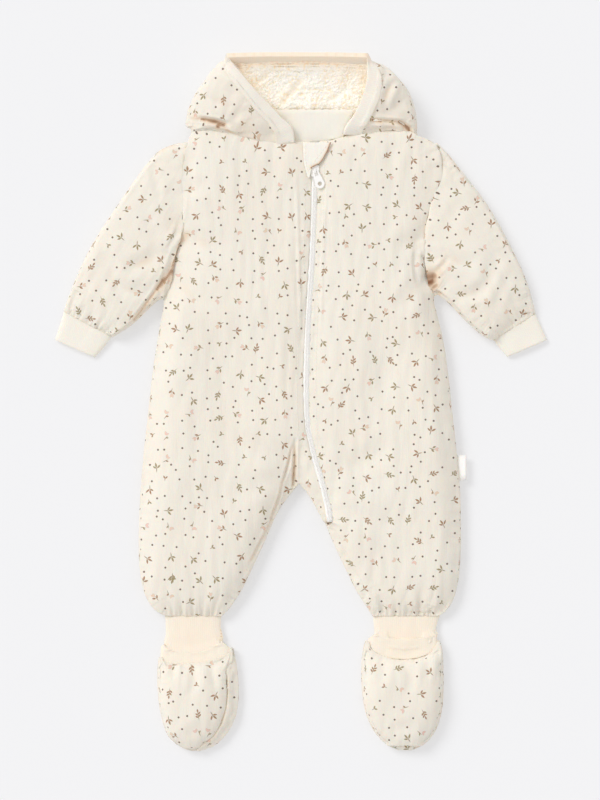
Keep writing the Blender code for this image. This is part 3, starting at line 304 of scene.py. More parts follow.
@dataclass(frozen=True)
class Relief:
    """Unevenness of a cloth's face, in millimetres."""

    swell: float = 0.0
    ripple: float = 0.0
    pucker: float = 0.0
    curl: float = 0.0
    swell_size: float = 46.0
    seed: int = 3

    RIPPLE_WIDTH = 15.0
    RIPPLE_LENGTH = 52.0
    PUCKER_REACH = 9.0

    def height_at(self, cloth: np.ndarray, rim: np.ndarray, gap: np.ndarray) -> np.ndarray:
        """Change of height at each place.

        Args:
            cloth: Places in the cloth's own plane.
            rim: For each place, the nearest one on a seam.
            gap: Distance of each place from that seam.

        Returns:
            Millimetres.
        """
        x, y = cloth[:, 0], cloth[:, 1]
        rise = np.zeros(len(cloth))
        sway = 9 * gradient_noise(x / 60, y / 60, self.seed + 9)
        if self.swell:
            wide = self.swell_size
            rise += self.swell * gradient_noise(x / wide, y / (wide * 1.3), self.seed)
        if self.ripple:
            fine, long = self.RIPPLE_WIDTH, self.RIPPLE_LENGTH
            first = np.abs(gradient_noise((x + sway) / fine, y / long, self.seed + 1)) - 0.3
            second = gradient_noise((x - sway) / fine * 1.9, y / long * 1.6, self.seed + 2)
            rise += self.ripple * (1.3 * first + 0.45 * second)
        if self.pucker:
            near = np.exp(-gap / self.PUCKER_REACH) * (1 - np.exp(-gap / 1.5))
            waves = gradient_noise(rim[:, 0] / 5.5, rim[:, 1] / 5.5, self.seed + 4)
            broad = gradient_noise(rim[:, 0] / 13, rim[:, 1] / 13, self.seed + 5)
            rise += self.pucker * near * (1.2 * waves + 1.3 * broad)
        if self.curl:
            tuft = 1 - 2.2 * np.abs(gradient_noise(x / 5.2, y / 5.2, self.seed + 6))
            tight = 1 - 2.2 * np.abs(gradient_noise(x / 2.6, y / 2.6, self.seed + 7))
            rise += self.curl * (0.65 * tuft + 0.35 * tight)
        return rise


@dataclass
class ClothPiece:
    """A piece of cloth on the form of its CAD solid, refined, creased and dressed.

    Attributes:
        calm: Places that lie flat, in rows of x, y and reach.
        flush: Nodes that the piece is sewn to and level with.
        closes: Nodes that its edges reach out to, as far as closing_reach.
        spread: How much wider its rims stand.
        widen: How far a strip's outer side moves, over the nodes in over.
        trims: Lines that cut what lies on their left, in rows of x, y, to x and to y.
        shifts: Moves sideways near a place, in rows of x, y, reach and distance.
        along: The line that a strip's grain follows.
    """

    node: str
    slot: str
    finish: bpy.types.Material
    levels: int = 3
    grain: float = 0.0
    relief: Relief = field(default_factory=Relief)
    creases: tuple[Crease, ...] = ()
    calm: tuple[Row, ...] = ()
    nudges: tuple[Nudge, ...] = ()
    hollows: tuple[Hollow, ...] = ()
    slope: Slope | None = None
    lift: float = 0.0
    flush: tuple[str, ...] = ()
    closes: tuple[str, ...] = ()
    closing_reach: float = 7.0
    spread: float = 0.0
    widen: float = 0.0
    trims: tuple[Row, ...] = ()
    shifts: tuple[Row, ...] = ()
    over: tuple[str, ...] = ()
    groove: float = 0.2
    crispness: float = 1.0
    sewn_crispness: float = 1.0
    longest_edge: float = 0.0
    # painted warm shade along the seams
    seam_warmth: float = 0.2
    fine_width: float = 4.2
    ease: int = 2
    offset: Place = (0.0, 0.0)
    along: tuple[Place, ...] = ()

    RIM_ANGLE = 0.72  # radians between the faces beside a rim
    SEWN_WITHIN = 3.5  # a rim this close to another piece is sewn
    RIM_STEP = 2.5
    SHARP_ANGLE = 48.0  # degrees
    BESIDE_SEAM = 9.0  # how far a seam's levelling and shade are felt
    LOWEST = 0.1  # height of the underside above the table
    WIDENED_FROM = 338.0  # y below which a widened strip comes in, over 18 mm
    STRIP_WIDTH = 11.0

    def cage(self) -> bpy.types.Mesh:
        """The solid's faces as quads, with its rims marked sharp.

        Returns:
            A new mesh.
        """
        work = bmesh.new()
        work.from_mesh(bpy.data.objects[self.node].data)
        bmesh.ops.remove_doubles(work, verts=work.verts, dist=1e-6)
        bmesh.ops.join_triangles(
            work, faces=work.faces, angle_face_threshold=0.7, angle_shape_threshold=1.0
        )
        sharp = work.edges.layers.float.new("crease_edge")
        others = neighbour_tree(self.node)
        for edge in work.edges:
            if len(edge.link_faces) == 2 and edge.calc_face_angle(0.0) > self.RIM_ANGLE:
                middle = (edge.verts[0].co + edge.verts[1].co) / 2
                sewn = others.find_nearest(middle, self.SEWN_WITHIN * MM)[0] is not None
                edge[sharp] = self.sewn_crispness if sewn else self.crispness
        mesh = bpy.data.meshes.new(f"{self.node}_cage")
        work.to_mesh(mesh)
        work.free()
        return mesh

    def rim_tree(self, cage: bpy.types.Mesh) -> KDTree:
        """Places along the cage's sharp rims, for finding the nearest seam.

        Args:
            cage: The marked cage.

        Returns:
            A tree of the places.
        """
        marks = cage.attributes["crease_edge"].data
        places = []
        for edge in cage.edges:
            if marks[edge.index].value > 0.1:
                a, b = (cage.vertices[i].co for i in edge.vertices)
                steps = max(2, int((b - a).length / (self.RIM_STEP * MM)))
                places += [a.lerp(b, i / steps) for i in range(steps)]
        tree = KDTree(max(1, len(places)))
        for i, place in enumerate(places or [Vector((NOWHERE, NOWHERE, NOWHERE))]):
            tree.insert(place, i)
        tree.balance()
        return tree

    def build(self) -> bpy.types.Object:
        """Make the piece and let it stand for its solid.

        Returns:
            The finished object.
        """
        cage = self.cage()
        tree = self.rim_tree(cage)
        piece = bpy.data.objects.new(f"{self.node}_cloth", cage)
        bpy.context.scene.collection.objects.link(piece)
        smooth = piece.modifiers.new("refine", "SUBSURF")
        smooth.levels = smooth.render_levels = self.levels
        graph = bpy.context.evaluated_depsgraph_get()
        fine = bpy.data.meshes.new_from_object(piece.evaluated_get(graph))
        piece.modifiers.clear()
        piece.data = fine
        bpy.data.meshes.remove(cage)
        self.refine_folds(fine)
        self.shape(fine, tree)
        fine.materials.clear()
        fine.materials.append(self.finish)
        fine.shade_smooth()
        fine.set_sharp_from_angle(angle=math.radians(self.SHARP_ANGLE))
        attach(piece, SUIT)
        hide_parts(self.node)
        return piece

    def refine_folds(self, mesh: bpy.types.Mesh) -> None:
        """Halve the faces along the narrow creases, and then the longest edges.

        Args:
            mesh: The refined mesh.
        """
        narrow = [crease for crease in self.creases if crease.width <= self.fine_width]
        work = bmesh.new()
        work.from_mesh(mesh)
        edges = set()
        for face in work.faces:
            middle = face.calc_center_median() / MM
            if face.normal.z > -0.2 and any(c.reaches(middle.x, middle.y) for c in narrow):
                edges.update(face.edges)
        if edges:
            bmesh.ops.subdivide_edges(work, edges=list(edges), cuts=1, use_grid_fill=True)
        for _ in range(2 if self.longest_edge else 0):
            long = [
                edge
                for edge in work.edges
                if edge.calc_length() > self.longest_edge * MM
                and any(face.normal.z > 0.1 for face in edge.link_faces)
            ]
            bmesh.ops.subdivide_edges(work, edges=long, cuts=1, use_grid_fill=True)
        bmesh.ops.triangulate(work, faces=[face for face in work.faces if len(face.verts) > 4])
        work.to_mesh(mesh)
        work.free()

    def shape(self, mesh: bpy.types.Mesh, tree: KDTree) -> None:
        """Ease and crease the refined cloth, close its seams, and lay its map.

        Args:
            mesh: The refined mesh.
            tree: Places on its rims.
        """
        places = read_rows(mesh.vertices, "co", 3).astype(float)
        edges = read_rows(mesh.edges, "vertices", 2, np.int32)
        found = [tree.find(place) for place in places]
        rim = np.array([spot[0] for spot in found]) / MM
        gap = np.array([spot[2] for spot in found]) / MM
        loose = 0.5 * np.clip(gap / 2.5, 0.0, 1.0)[:, None]
        for _ in range(self.ease):
            places += loose * (neighbour_mean(places, edges) - places)
        mesh.vertices.foreach_set("co", places.ravel())
        mesh.update()
        normals = read_rows(mesh.vertices, "normal", 3).astype(float)
        plan = places / MM
        cloth = self.cloth_places(plan, normals)
        points = Points(places, plan, normals, gap, edges, np.zeros(len(plan)))
        rise = self.folds(points, self.relief.height_at(cloth, rim, gap))
        upward = np.clip(0.55 + 0.9 * normals[:, 2], 0.0, 1.0)
        places += normals * (rise * upward * np.minimum(gap / 3.0, 1.0))[:, None] * MM
        self.close_seams(points)
        if self.widen:
            self.widen_strip(points)
        self.fit_outline(points)
        if self.slope:
            self.slope.raise_pile(points, rise)
        # painted shade of the folds and seams, and of the hollows on faces that look up, stored for
        # the material
        fold = points.fold * upward
        face_up = np.clip(1.0 + 3.0 * normals[:, 2], 0.0, 1.0)
        for hollow in self.hollows:
            near = nearness(plan, hollow.x, hollow.y, hollow.reach)
            fold = np.maximum(fold, hollow.warmth * face_up * near)
        places[:, 2] += self.lift * MM
        places[:, 2] = np.maximum(places[:, 2], self.LOWEST * MM)
        shade = mesh.attributes.new(FOLD_SHADE, "FLOAT", "POINT")
        shade.data.foreach_set("value", fold.astype(np.float32))
        mesh.vertices.foreach_set("co", places.ravel())
        mesh.update()
        layer = mesh.uv_layers.new(name=CLOTH_MAP)
        corners = read_rows(mesh.loops, "vertex_index", 1, np.int32)[:, 0]
        layer.data.foreach_set("uv", (cloth[corners] / MAP_UNIT).astype(np.float32).ravel())

    def folds(self, points: Points, rise: np.ndarray) -> np.ndarray:
        """Add the creases and their painted shade, and calm the places that lie flat.

        Args:
            points: The cloth's points, whose painted fold shade is set.
            rise: The relief's change of height.

        Returns:
            The whole change of height in millimetres.
        """
        for crease in self.creases:
            change = crease.height_at(points.plan[:, :2])
            rise += change
            if not crease.from_seam:
                # painted shade, stronger in the deeper troughs
                deep = np.clip((-change - 1.3) / 3.0, 0.0, 1.0)
                points.fold = np.maximum(points.fold, deep)
        for x, y, reach in self.calm:
            rise *= 1 - 0.9 * nearness(points.plan, x, y, reach)
        return rise

    def fit_outline(self, points: Points) -> None:
        """Shift and trim the piece's edges.

        Args:
            points: The cloth's points, moved in place.
        """
        places = points.places
        for x, y, reach, across in self.shifts:
            places[:, 0] += across * nearness(points.plan, x, y, reach) * MM
        for x, y, to_x, to_y in self.trims:
            side = np.array([y - to_y, to_x - x]) / math.hypot(to_x - x, to_y - y)
            over = np.maximum((places[:, :2] / MM - (x, y)) @ side, 0.0)
            places[:, :2] -= over[:, None] * side * MM

    def close_seams(self, points: Points) -> None:
        """Let the edges along seams touch their neighbours, and paint warm shade along the seams.

        Args:
            points: The cloth's points, moved in place.
        """
        places, normals, gap = points.places, points.normals, points.gap
        plan = places / MM
        tree = neighbour_tree(self.node)
        sideways = np.linalg.norm(normals[:, :2], axis=1)
        outward = np.clip(sideways * 1.6, 0.0, 1.0) * np.exp(-((gap / 3.0) ** 2))
        flat_way = normals * (1.0, 1.0, 0.0) / np.maximum(sideways, 0.05)[:, None]
        places += flat_way * (outward * self.spread)[:, None] * MM
        push = self.seam_push(points, tree)
        for _ in range(3):
            push = 0.35 * push + 0.65 * neighbour_mean(push, points.edges)
        places += push * 1.25
        near = np.full(len(gap), 99.0)
        for i in np.flatnonzero((normals[:, 2] > -0.2) & (gap < self.BESIDE_SEAM)):
            found = tree.find_nearest(Vector(plan[i] * MM), self.BESIDE_SEAM * MM)
            if found[0] is not None:
                near[i] = found[3] / MM
        # painted warm shade along the seams, more or less of it at the nudges
        warm = np.full(len(gap), self.seam_warmth)
        up = np.zeros(len(gap))
        for nudge in self.nudges:
            share = nearness(plan, nudge.x, nudge.y, nudge.reach, 4)
            up += nudge.up * share
            warm += nudge.warmth * share
        if self.flush:
            self.level_seams(points, near)
        places[:, 2] += up * np.exp(-((near / 6.5) ** 2)) * np.clip(normals[:, 2] + 0.4, 0, 1) * MM
        warm = np.clip(warm, 0.0, 1.0) * np.exp(-((near / 2.0) ** 2))
        points.fold = np.maximum(points.fold, warm)

    def seam_push(self, points: Points, tree: BVHTree) -> np.ndarray:
        """How far each point beside a seam moves towards the piece it is sewn to.

        Args:
            points: The cloth's points.
            tree: The other pieces' solids.

        Returns:
            A move in metres for each point.
        """
        places, normals, gap = points.places, points.normals, points.gap
        wide, far = solid_tree(self.flush + self.closes), self.closing_reach
        push = np.zeros_like(places)
        sideways = np.linalg.norm(normals[:, :2], axis=1)
        for i in np.flatnonzero((gap < 5.0) & (sideways > 0.25)):
            way = Vector((normals[i, 0], normals[i, 1], 0.0)).normalized()
            for height, others, reach in ((1.0, wide, far), (0.6, wide, far), (1.0, tree, 1.0)):
                start = Vector((places[i, 0], places[i, 1], places[i, 2] * height))
                hit, _, _, distance = others.ray_cast(start + way * 0.02 * MM, way, reach * MM)
                if hit is not None:
                    length = distance / MM / 2 + 0.25
                    share = math.exp(-((gap[i] / max(2.2, length * 1.6)) ** 2))
                    push[i] = np.array(way) * length * share * MM
                    break
        return push

    def level_seams(self, points: Points, near: np.ndarray) -> None:
        """Bring both sides of a seam to one height, so that only a shallow groove is left.

        Args:
            points: The cloth's points, moved in place.
            near: Their distance from the nearest neighbour.
        """
        places, normals = points.places, points.normals
        others, own = solid_tree(self.flush), solid_tree((self.node,))
        for i in np.flatnonzero((near < self.BESIDE_SEAM) & (normals[:, 2] > -0.2)):
            place = Vector(places[i])
            spot, _, _, distance = others.find_nearest(place, 10.0 * MM)
            if spot is None:
                continue
            way = Vector((spot.x - place.x, spot.y - place.y, 0.0))
            if way.length < 0.3 * MM:
                way = Vector((normals[i, 0], normals[i, 1], 0.0))
            if way.length < 1e-6:
                continue
            way.normalize()
            beyond = top_of(others, spot + way * 2.5 * MM)
            rim = top_of(own, spot - way * 0.9 * MM)
            within = top_of(own, spot - way * 3.4 * MM)
            if None in (beyond, rim, within):
                continue
            rise = (beyond + within) / 2 - self.groove * MM - rim
            high = min(1.0, max(0.0, (place.z - rim + 5.0 * MM) / (4.5 * MM)))
            share = math.exp(-((distance / (5.0 * MM)) ** 2)) * high
            places[i, 2] += max(-3.0 * MM, min(6.0 * MM, rise)) * share

    def cloth_places(self, plan: np.ndarray, normals: np.ndarray) -> np.ndarray:
        """Places in the cloth's own plane, unrolled over its steep sides.

        Args:
            plan: Points in millimetres.
            normals: Their normals.

        Returns:
            Two coordinates for each point, along and across the grain.
        """
        if self.along:
            foot, length = self.feet(plan)
            near = np.linalg.norm(plan[:, :2] - foot, axis=1)
            return np.stack([length, near + plan[:, 2]], axis=1)
        if self.slope:
            return plan[:, :2].copy()
        drop = plan[:, 2].max() - plan[:, 2]
        steep = np.clip((0.75 - normals[:, 2]) / 0.5, 0.0, 1.0)
        flat = plan[:, :2] + normals[:, :2] * (steep * drop)[:, None]
        turn = math.radians(self.grain)
        around = np.array([[math.cos(turn), -math.sin(turn)], [math.sin(turn), math.cos(turn)]])
        return flat @ around + np.array(self.offset)

    def feet(self, plan: np.ndarray) -> tuple[np.ndarray, np.ndarray]:
        """The nearest places on the line that a strip follows.

        Args:
            plan: Points in millimetres.

        Returns:
            For each point, its nearest place on the line and the length up to there.
        """
        line = np.array(self.along, float)
        starts, ways = line[:-1], np.diff(line, axis=0)
        spans = np.linalg.norm(ways, axis=1)
        before = np.concatenate([[0.0], np.cumsum(spans)[:-1]])
        rest = plan[:, None, :2] - starts[None]
        part = np.clip((rest * ways[None]).sum(2) / spans**2, 0.0, 1.0)
        near = np.linalg.norm(rest - part[..., None] * ways[None], axis=2)
        best = near.argmin(1)
        rows = np.arange(len(plan))
        foot = starts[best] + part[rows, best][:, None] * ways[best]
        return foot, before[best] + part[rows, best] * spans[best]

    def widen_strip(self, points: Points) -> None:
        """Let a strip's outer side lie further over the cloth beside it.

        Args:
            points: The strip's points, moved in place.
        """
        places, normals = points.places, points.normals
        plan = places / MM
        away = plan[:, :2] - self.feet(plan)[0]
        near = np.linalg.norm(away, axis=1)
        share = np.clip(near / self.STRIP_WIDTH, 0.0, 1.0)
        share *= np.clip((self.WIDENED_FROM - plan[:, 1]) / 18.0, 0.0, 1.0)
        step = away / np.maximum(near, 0.1)[:, None] * (share * self.widen)[:, None]
        places[:, :2] += step * MM
        under = solid_tree(self.over)
        for i in np.flatnonzero((share > 0.05) & (normals[:, 2] > -0.1)):
            below = top_of(under, Vector(places[i]))
            if below is not None:
                wanted = max(places[i, 2], below + 1.1 * MM)
                places[i, 2] += (wanted - places[i, 2]) * min(1.0, share[i] * 1.6)


def read_rows(items: object, name: str, count: int, kind: type = np.float32) -> np.ndarray:
    """One row of numbers for each of a mesh's points, edges or corners.

    Args:
        items: The points, edges or corners.
        name: What to read from each.
        count: Numbers in a row.
        kind: Their type.

    Returns:
        The rows.
    """
    values = np.empty(len(items) * count, kind)
    items.foreach_get(name, values)
    return values.reshape(-1, count)


def solid_tree(nodes: tuple[str, ...]) -> BVHTree:
    """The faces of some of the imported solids, or one far triangle if none are named.

    Args:
        nodes: The solids' nodes.

    Returns:
        A tree of the faces.
    """
    points, faces = [], []
    if not nodes:
        far, on = NOWHERE, NOWHERE + 0.1
        points, faces = [(far, far, far), (on, far, far), (far, on, far)], [(0, 1, 2)]
    for node in nodes:
        mesh = bpy.data.objects[node].data
        start = len(points)
        points += [tuple(v.co) for v in mesh.vertices]
        faces += [tuple(start + i for i in p.vertices) for p in mesh.polygons]
    return BVHTree.FromPolygons(points, faces)


def neighbour_tree(node: str) -> BVHTree:
    """The other cloth solids' faces, for finding what a piece is sewn to."""
    loose = {node} | SEWN_AT_ONE_EDGE
    return solid_tree(tuple(other for other in CLOTH_NODES if other not in loose))


def top_of(tree: BVHTree, place: Vector) -> float | None:
    """The height of the highest face under a plan place, if there is one."""
    spot = tree.ray_cast(Vector((place.x, place.y, ABOVE_ALL)), Vector((0, 0, -1)))[0]
    return None if spot is None else spot.z


def neighbour_mean(places: np.ndarray, edges: np.ndarray) -> np.ndarray:
    """Mean place of each point's neighbours.

    Args:
        places: Points, one row each.
        edges: Pairs of point numbers.

    Returns:
        One row for each point.
    """
    total = np.zeros_like(places)
    times = np.zeros(len(places))
    for a, b in ((0, 1), (1, 0)):
        np.add.at(total, edges[:, a], places[edges[:, b]])
        np.add.at(times, edges[:, a], 1)
    return total / np.maximum(times, 1)[:, None]


# ------------------------------------------------------------------ shader helpers


Socket = bpy.types.NodeSocket
Colour = tuple[float, float, float, float]


class Wiring:
    """A short way to write a node tree."""

    def __init__(self, tree: bpy.types.NodeTree) -> None:
        """Keep the tree."""
        self.tree = tree

    def feed(self, target: Socket, value: object) -> None:
        """Link a socket to another, or set its value.

        Args:
            target: The input.
            value: An output, or a plain value.
        """
        if isinstance(value, Socket):
            self.tree.links.new(value, target)
        else:
            target.default_value = value

    def node(self, kind: str, values: dict | None = None, **settings: object) -> bpy.types.Node:
        """Add a node.

        Args:
            kind: Its type.
            values: What its inputs get, by name or number: a socket or a value.
            settings: Its properties.

        Returns:
            The node.
        """
        made = self.tree.nodes.new(kind)
        for name, setting in settings.items():
            setattr(made, name, setting)
        for key, value in (values or {}).items():
            self.feed(made.inputs[key], value)
        return made

    def math(self, operation: str, *values: object, clamp: bool = False) -> Socket:
        """The result of one sum on sockets or numbers."""
        settings = {"operation": operation, "use_clamp": clamp}
        return self.node("ShaderNodeMath", dict(enumerate(values)), **settings).outputs[0]

    def vector(self, operation: str, first: object, second: object) -> Socket:
        """The result of one vector sum."""
        values = {0: first, "Scale" if operation == "SCALE" else 1: second}
        return self.node("ShaderNodeVectorMath", values, operation=operation).outputs[0]

    def blend(self, share: object, first: object, second: object) -> Socket:
        """A colour between two others."""
        values = {0: share, 6: first, 7: second}
        return self.node("ShaderNodeMix", values, data_type="RGBA", clamp_factor=True).outputs[2]

    def turned(self, place: Socket, angle: object) -> Socket:
        """A place turned about the origin of its plane."""
        values = {"Vector": place, "Angle": angle}
        return self.node("ShaderNodeVectorRotate", values, rotation_type="Z_AXIS").outputs[0]

    def noise(self, place: Socket, scale: float, detail: float, distort: float = 0.0) -> Socket:
        """Cloudy noise at a place."""
        values = {"Vector": place, "Scale": scale, "Detail": detail, "Distortion": distort}
        return self.node("ShaderNodeTexNoise", values, noise_dimensions="2D").outputs["Fac"]

    def cells(
        self, place: Socket, scale: float, uneven: float, feature: str = "F1"
    ) -> bpy.types.bpy_prop_collection:
        """Cells scattered over the plane.

        Args:
            place: Where they are looked up.
            scale: How many there are to a unit.
            uneven: How far they stray from a grid, 0 to 1.
            feature: Which measure the distance holds.

        Returns:
            Their distance, colour and middle.
        """
        values = {"Vector": place, "Scale": scale, "Randomness": uneven}
        settings = {"voronoi_dimensions": "2D", "feature": feature}
        return self.node("ShaderNodeTexVoronoi", values, **settings).outputs

    def stretch(self, place: Socket, x: float, y: float) -> Socket:
        """A place scaled along each axis."""
        return self.vector("MULTIPLY", place, (x, y, 1.0))

    def greatest(self, first: Socket | None, second: Socket) -> Socket:
        """The greater of two masks, or the second if there is no first."""
        return second if first is None else self.math("MAXIMUM", first, second)

    def group(self, tree: bpy.types.NodeTree, **values: object) -> bpy.types.bpy_prop_collection:
        """The outputs of a placed group, its inputs named in lower case with underscores."""
        named = {name.replace("_", " ").capitalize(): value for name, value in values.items()}
        return self.node("ShaderNodeGroup", named, node_tree=tree).outputs


class Group(Wiring):
    """A node group in the making, with named inputs and outputs."""

    def __init__(self, name: str, inputs: dict[str, str], outputs: dict[str, str]) -> None:
        """Make the group and its sockets.

        Args:
            name: The group's name.
            inputs: Socket kinds by name.
            outputs: Socket kinds by name.
        """
        super().__init__(bpy.data.node_groups.new(name, "ShaderNodeTree"))
        for names, way in ((inputs, "INPUT"), (outputs, "OUTPUT")):
            for socket, kind in names.items():
                self.tree.interface.new_socket(
                    name=socket, in_out=way, socket_type=f"NodeSocket{kind}"
                )
        self.given = self.node("NodeGroupInput").outputs
        self.result = self.node("NodeGroupOutput").inputs

    def put(self, **values: Socket) -> bpy.types.NodeTree:
        """Link the outputs.

        Args:
            values: What each output gets, by its name in lower case.

        Returns:
            The finished tree.
        """
        for name, value in values.items():
            self.feed(self.result[name.capitalize()], value)
        return self.tree


# ------------------------------------------------------------------ shared effects


class Effects:
    """Node groups that the finishes share, each built once. Lengths are in millimetres."""

    LEAF_SOFTNESS = 0.4
    MOTIF_SIZE = 1.12
    PLANT_SPACING = 22.5
    PLANT_UNEVENNESS = 0.62
    DOT_SPACING = 13.8
    DOT_UNEVENNESS = 0.72
    DOT_RADIUS = 1.0
    DOT_CLEARANCE = 7.0
    DRY_SHARE = 0.45
    RELIEF_OUT = {"Height": "Float", "Shade": "Float"}
    PRINT_COLOURS = ("Leaf", "Dry leaf", "Petal", "Pale petal", "Stem", "Dot")
    # motif, part, x, y, turn in degrees, length, width
    STROKES = (
        ("sprig", "stem", 0.0, -1.9, 90, 2.3, 0.36),
        ("sprig", "leaf", -0.6, 2.2, 104, 2.4, 0.80),
        ("sprig", "leaf", -1.9, 0.3, 150, 1.9, 0.72),
        ("sprig", "leaf", 2.0, 1.0, 44, 2.3, 0.78),
        ("frond", "stem", 0.0, 0.0, 90, 4.4, 0.34),
        ("frond", "leaf", -1.3, -1.2, 140, 1.6, 0.70),
        ("frond", "leaf", 1.3, -0.3, 42, 1.6, 0.70),
        ("frond", "leaf", -1.2, 1.0, 136, 1.5, 0.65),
        ("frond", "leaf", 1.2, 1.9, 46, 1.5, 0.65),
        ("frond", "leaf", 0.0, 4.0, 92, 1.7, 0.70),
        ("bud", "stem", 0.3, -2.2, 78, 2.6, 0.34),
        ("bud", "petal", -0.5, 2.0, 112, 2.0, 0.95),
        ("bud", "petal", 0.6, 1.9, 66, 1.9, 0.90),
        ("bud", "leaf", -1.5, -0.4, 130, 1.7, 0.75),
        ("bud", "leaf", 1.7, -1.2, 50, 1.7, 0.75),
        ("bloom", "stem", 0.9, -2.2, 66, 2.8, 0.32),
        ("bloom", "petal", -0.7, 1.8, 118, 1.9, 1.00),
        ("bloom", "petal", 0.9, 1.5, 40, 1.9, 0.90),
        ("bloom", "leaf", 2.1, -1.6, 20, 1.4, 0.60),
        ("twig", "stem", 0.0, -1.2, 92, 1.6, 0.30),
        ("twig", "leaf", -1.0, 0.5, 128, 1.5, 0.68),
        ("twig", "leaf", 1.0, 0.6, 50, 1.5, 0.68),
    )
    # motif and the share of the cells up to which it is used
    SHARES = (("sprig", 0.34), ("frond", 0.50), ("bud", 0.67), ("bloom", 0.80), ("twig", 1.0))

    def __init__(self) -> None:
        """Build every group."""
        self.leaf = self.leaf_shape()
        self.print = self.scattered_print()
        self.gauze = self.gauze_relief()
        self.rib = self.rib_relief()
        self.pile = self.pile_relief()

    def leaf_shape(self) -> bpy.types.NodeTree:
        """A pointed leaf.

        Returns:
            A group that gives its mask at a place.
        """
        numbers = {name: "Float" for name in ("Turn", "Length", "Width")}
        sockets = {"Place": "Vector", "Centre": "Vector", **numbers}
        made = Group("leaf_shape", sockets, {"Mask": "Float"})
        place = made.vector("SUBTRACT", made.given["Place"], made.given["Centre"])
        place = made.turned(place, made.math("MULTIPLY", made.given["Turn"], -1.0))
        parts = made.node("ShaderNodeSeparateXYZ", {0: place}).outputs
        along = made.math("DIVIDE", parts[0], made.given["Length"])
        room = made.math("SUBTRACT", 1.0, made.math("MULTIPLY", along, along))
        room = made.math("MULTIPLY", room, made.given["Width"])
        room = made.math("SUBTRACT", room, made.math("ABSOLUTE", parts[1]))
        mask = made.math("MULTIPLY_ADD", room, 1 / self.LEAF_SOFTNESS, 0.5, clamp=True)
        return made.put(mask=mask)

    def motif(self, name: str) -> bpy.types.NodeTree:
        """One small plant of the print.

        Args:
            name: The plant's name in the table of strokes.

        Returns:
            A group that gives masks for its parts.
        """
        parts = {part: "Float" for part in ("Leaf", "Petal", "Stem")}
        made = Group(f"print_{name}", {"Place": "Vector"}, parts)
        masks = {}
        for motif, part, x, y, turn, length, width in self.STROKES:
            if motif == name:
                values = {"centre": (x, y, 0.0), "turn": math.radians(turn)}
                values |= {"length": length, "width": width}
                shape = made.group(self.leaf, place=made.given["Place"], **values)[0]
                masks[part] = made.greatest(masks.get(part), shape)
        return made.put(**masks)

    def scattered_print(self) -> bpy.types.NodeTree:
        """Small plants scattered over the cloth at all angles, with dots between them.

        Returns:
            A group that gives the print's colour and its mask.
        """
        colours = {name: "Color" for name in self.PRINT_COLOURS}
        sockets = {"Place": "Vector", **colours}
        made = Group("scattered_print", sockets, {"Color": "Color", "Mask": "Float"})
        given = made.given
        cell = made.cells(given["Place"], 1 / self.PLANT_SPACING, self.PLANT_UNEVENNESS)
        chance = made.node("ShaderNodeSeparateColor", {0: cell["Color"]}).outputs
        place = made.vector("SUBTRACT", given["Place"], cell["Position"])
        place = made.turned(place, made.math("MULTIPLY", chance[0], 2 * math.pi))
        place = made.vector("SCALE", place, 1 / self.MOTIF_SIZE)
        masks = {}
        low = -1.0
        for name, high in self.SHARES:
            above = made.math("GREATER_THAN", chance[1], low)
            window = made.math("MULTIPLY", above, made.math("LESS_THAN", chance[1], high + 1e-4))
            drawn = made.group(self.motif(name), place=place)
            for part in ("Leaf", "Petal", "Stem"):
                shown = made.math("MULTIPLY", drawn[part], window)
                masks[part] = made.greatest(masks.get(part), shown)
            low = high
        dry = made.math("GREATER_THAN", chance[2], self.DRY_SHARE)
        leaf = made.blend(dry, given["Leaf"], given["Dry leaf"])
        petal = made.blend(chance[2], given["Petal"], given["Pale petal"])
        colour = made.blend(masks["Stem"], given["Dot"], given["Stem"])
        colour = made.blend(masks["Leaf"], colour, leaf)
        colour = made.blend(masks["Petal"], colour, petal)
        mask = self.dots(made)
        for part in masks.values():
            mask = made.math("MAXIMUM", mask, part)
        return made.put(color=colour, mask=mask)

    def dots(self, made: Group) -> Socket:
        """Dots that keep clear of the plants.

        Args:
            made: The print's group.

        Returns:
            Their mask.
        """
        near = made.cells(made.given["Place"], 1 / self.DOT_SPACING, self.DOT_UNEVENNESS)
        off = made.math("MULTIPLY", near["Distance"], self.DOT_SPACING)
        room = made.math("SUBTRACT", self.DOT_RADIUS, off)
        dot = made.math("MULTIPLY_ADD", room, 2.6, 0.5, clamp=True)
        plant = made.cells(near["Position"], 1 / self.PLANT_SPACING, self.PLANT_UNEVENNESS)
        clear = self.DOT_CLEARANCE / self.PLANT_SPACING
        return made.math("MULTIPLY", dot, made.math("GREATER_THAN", plant["Distance"], clear))

    def gauze_relief(self) -> bpy.types.NodeTree:
        """Crinkles along the grain of thin double cotton, with its weave.

        Returns:
            A group that gives a height and a shade.
        """
        made = Group("gauze_relief", {"Place": "Vector"}, self.RELIEF_OUT)
        place = made.given["Place"]
        crinkle = made.noise(made.stretch(place, 0.34, 0.030), 1.0, 2.5, 0.5)
        fine = made.noise(made.stretch(place, 0.95, 0.16), 1.0, 1.5, 0.3)
        weave = made.noise(place, 2.6, 1.0)
        height = made.math("MULTIPLY", crinkle, 0.75)
        height = made.math("MULTIPLY_ADD", fine, 0.28, height)
        height = made.math("MULTIPLY_ADD", weave, 0.05, height)
        # the shade varies at random over the cloth and, in part, with the fine crinkles, as painted
        # shade on them
        cloud = made.noise(place, 0.018, 2.0)
        shade = made.math("MULTIPLY_ADD", cloud, 0.6, made.math("MULTIPLY", fine, 0.4), clamp=True)
        return made.put(height=height, shade=shade)

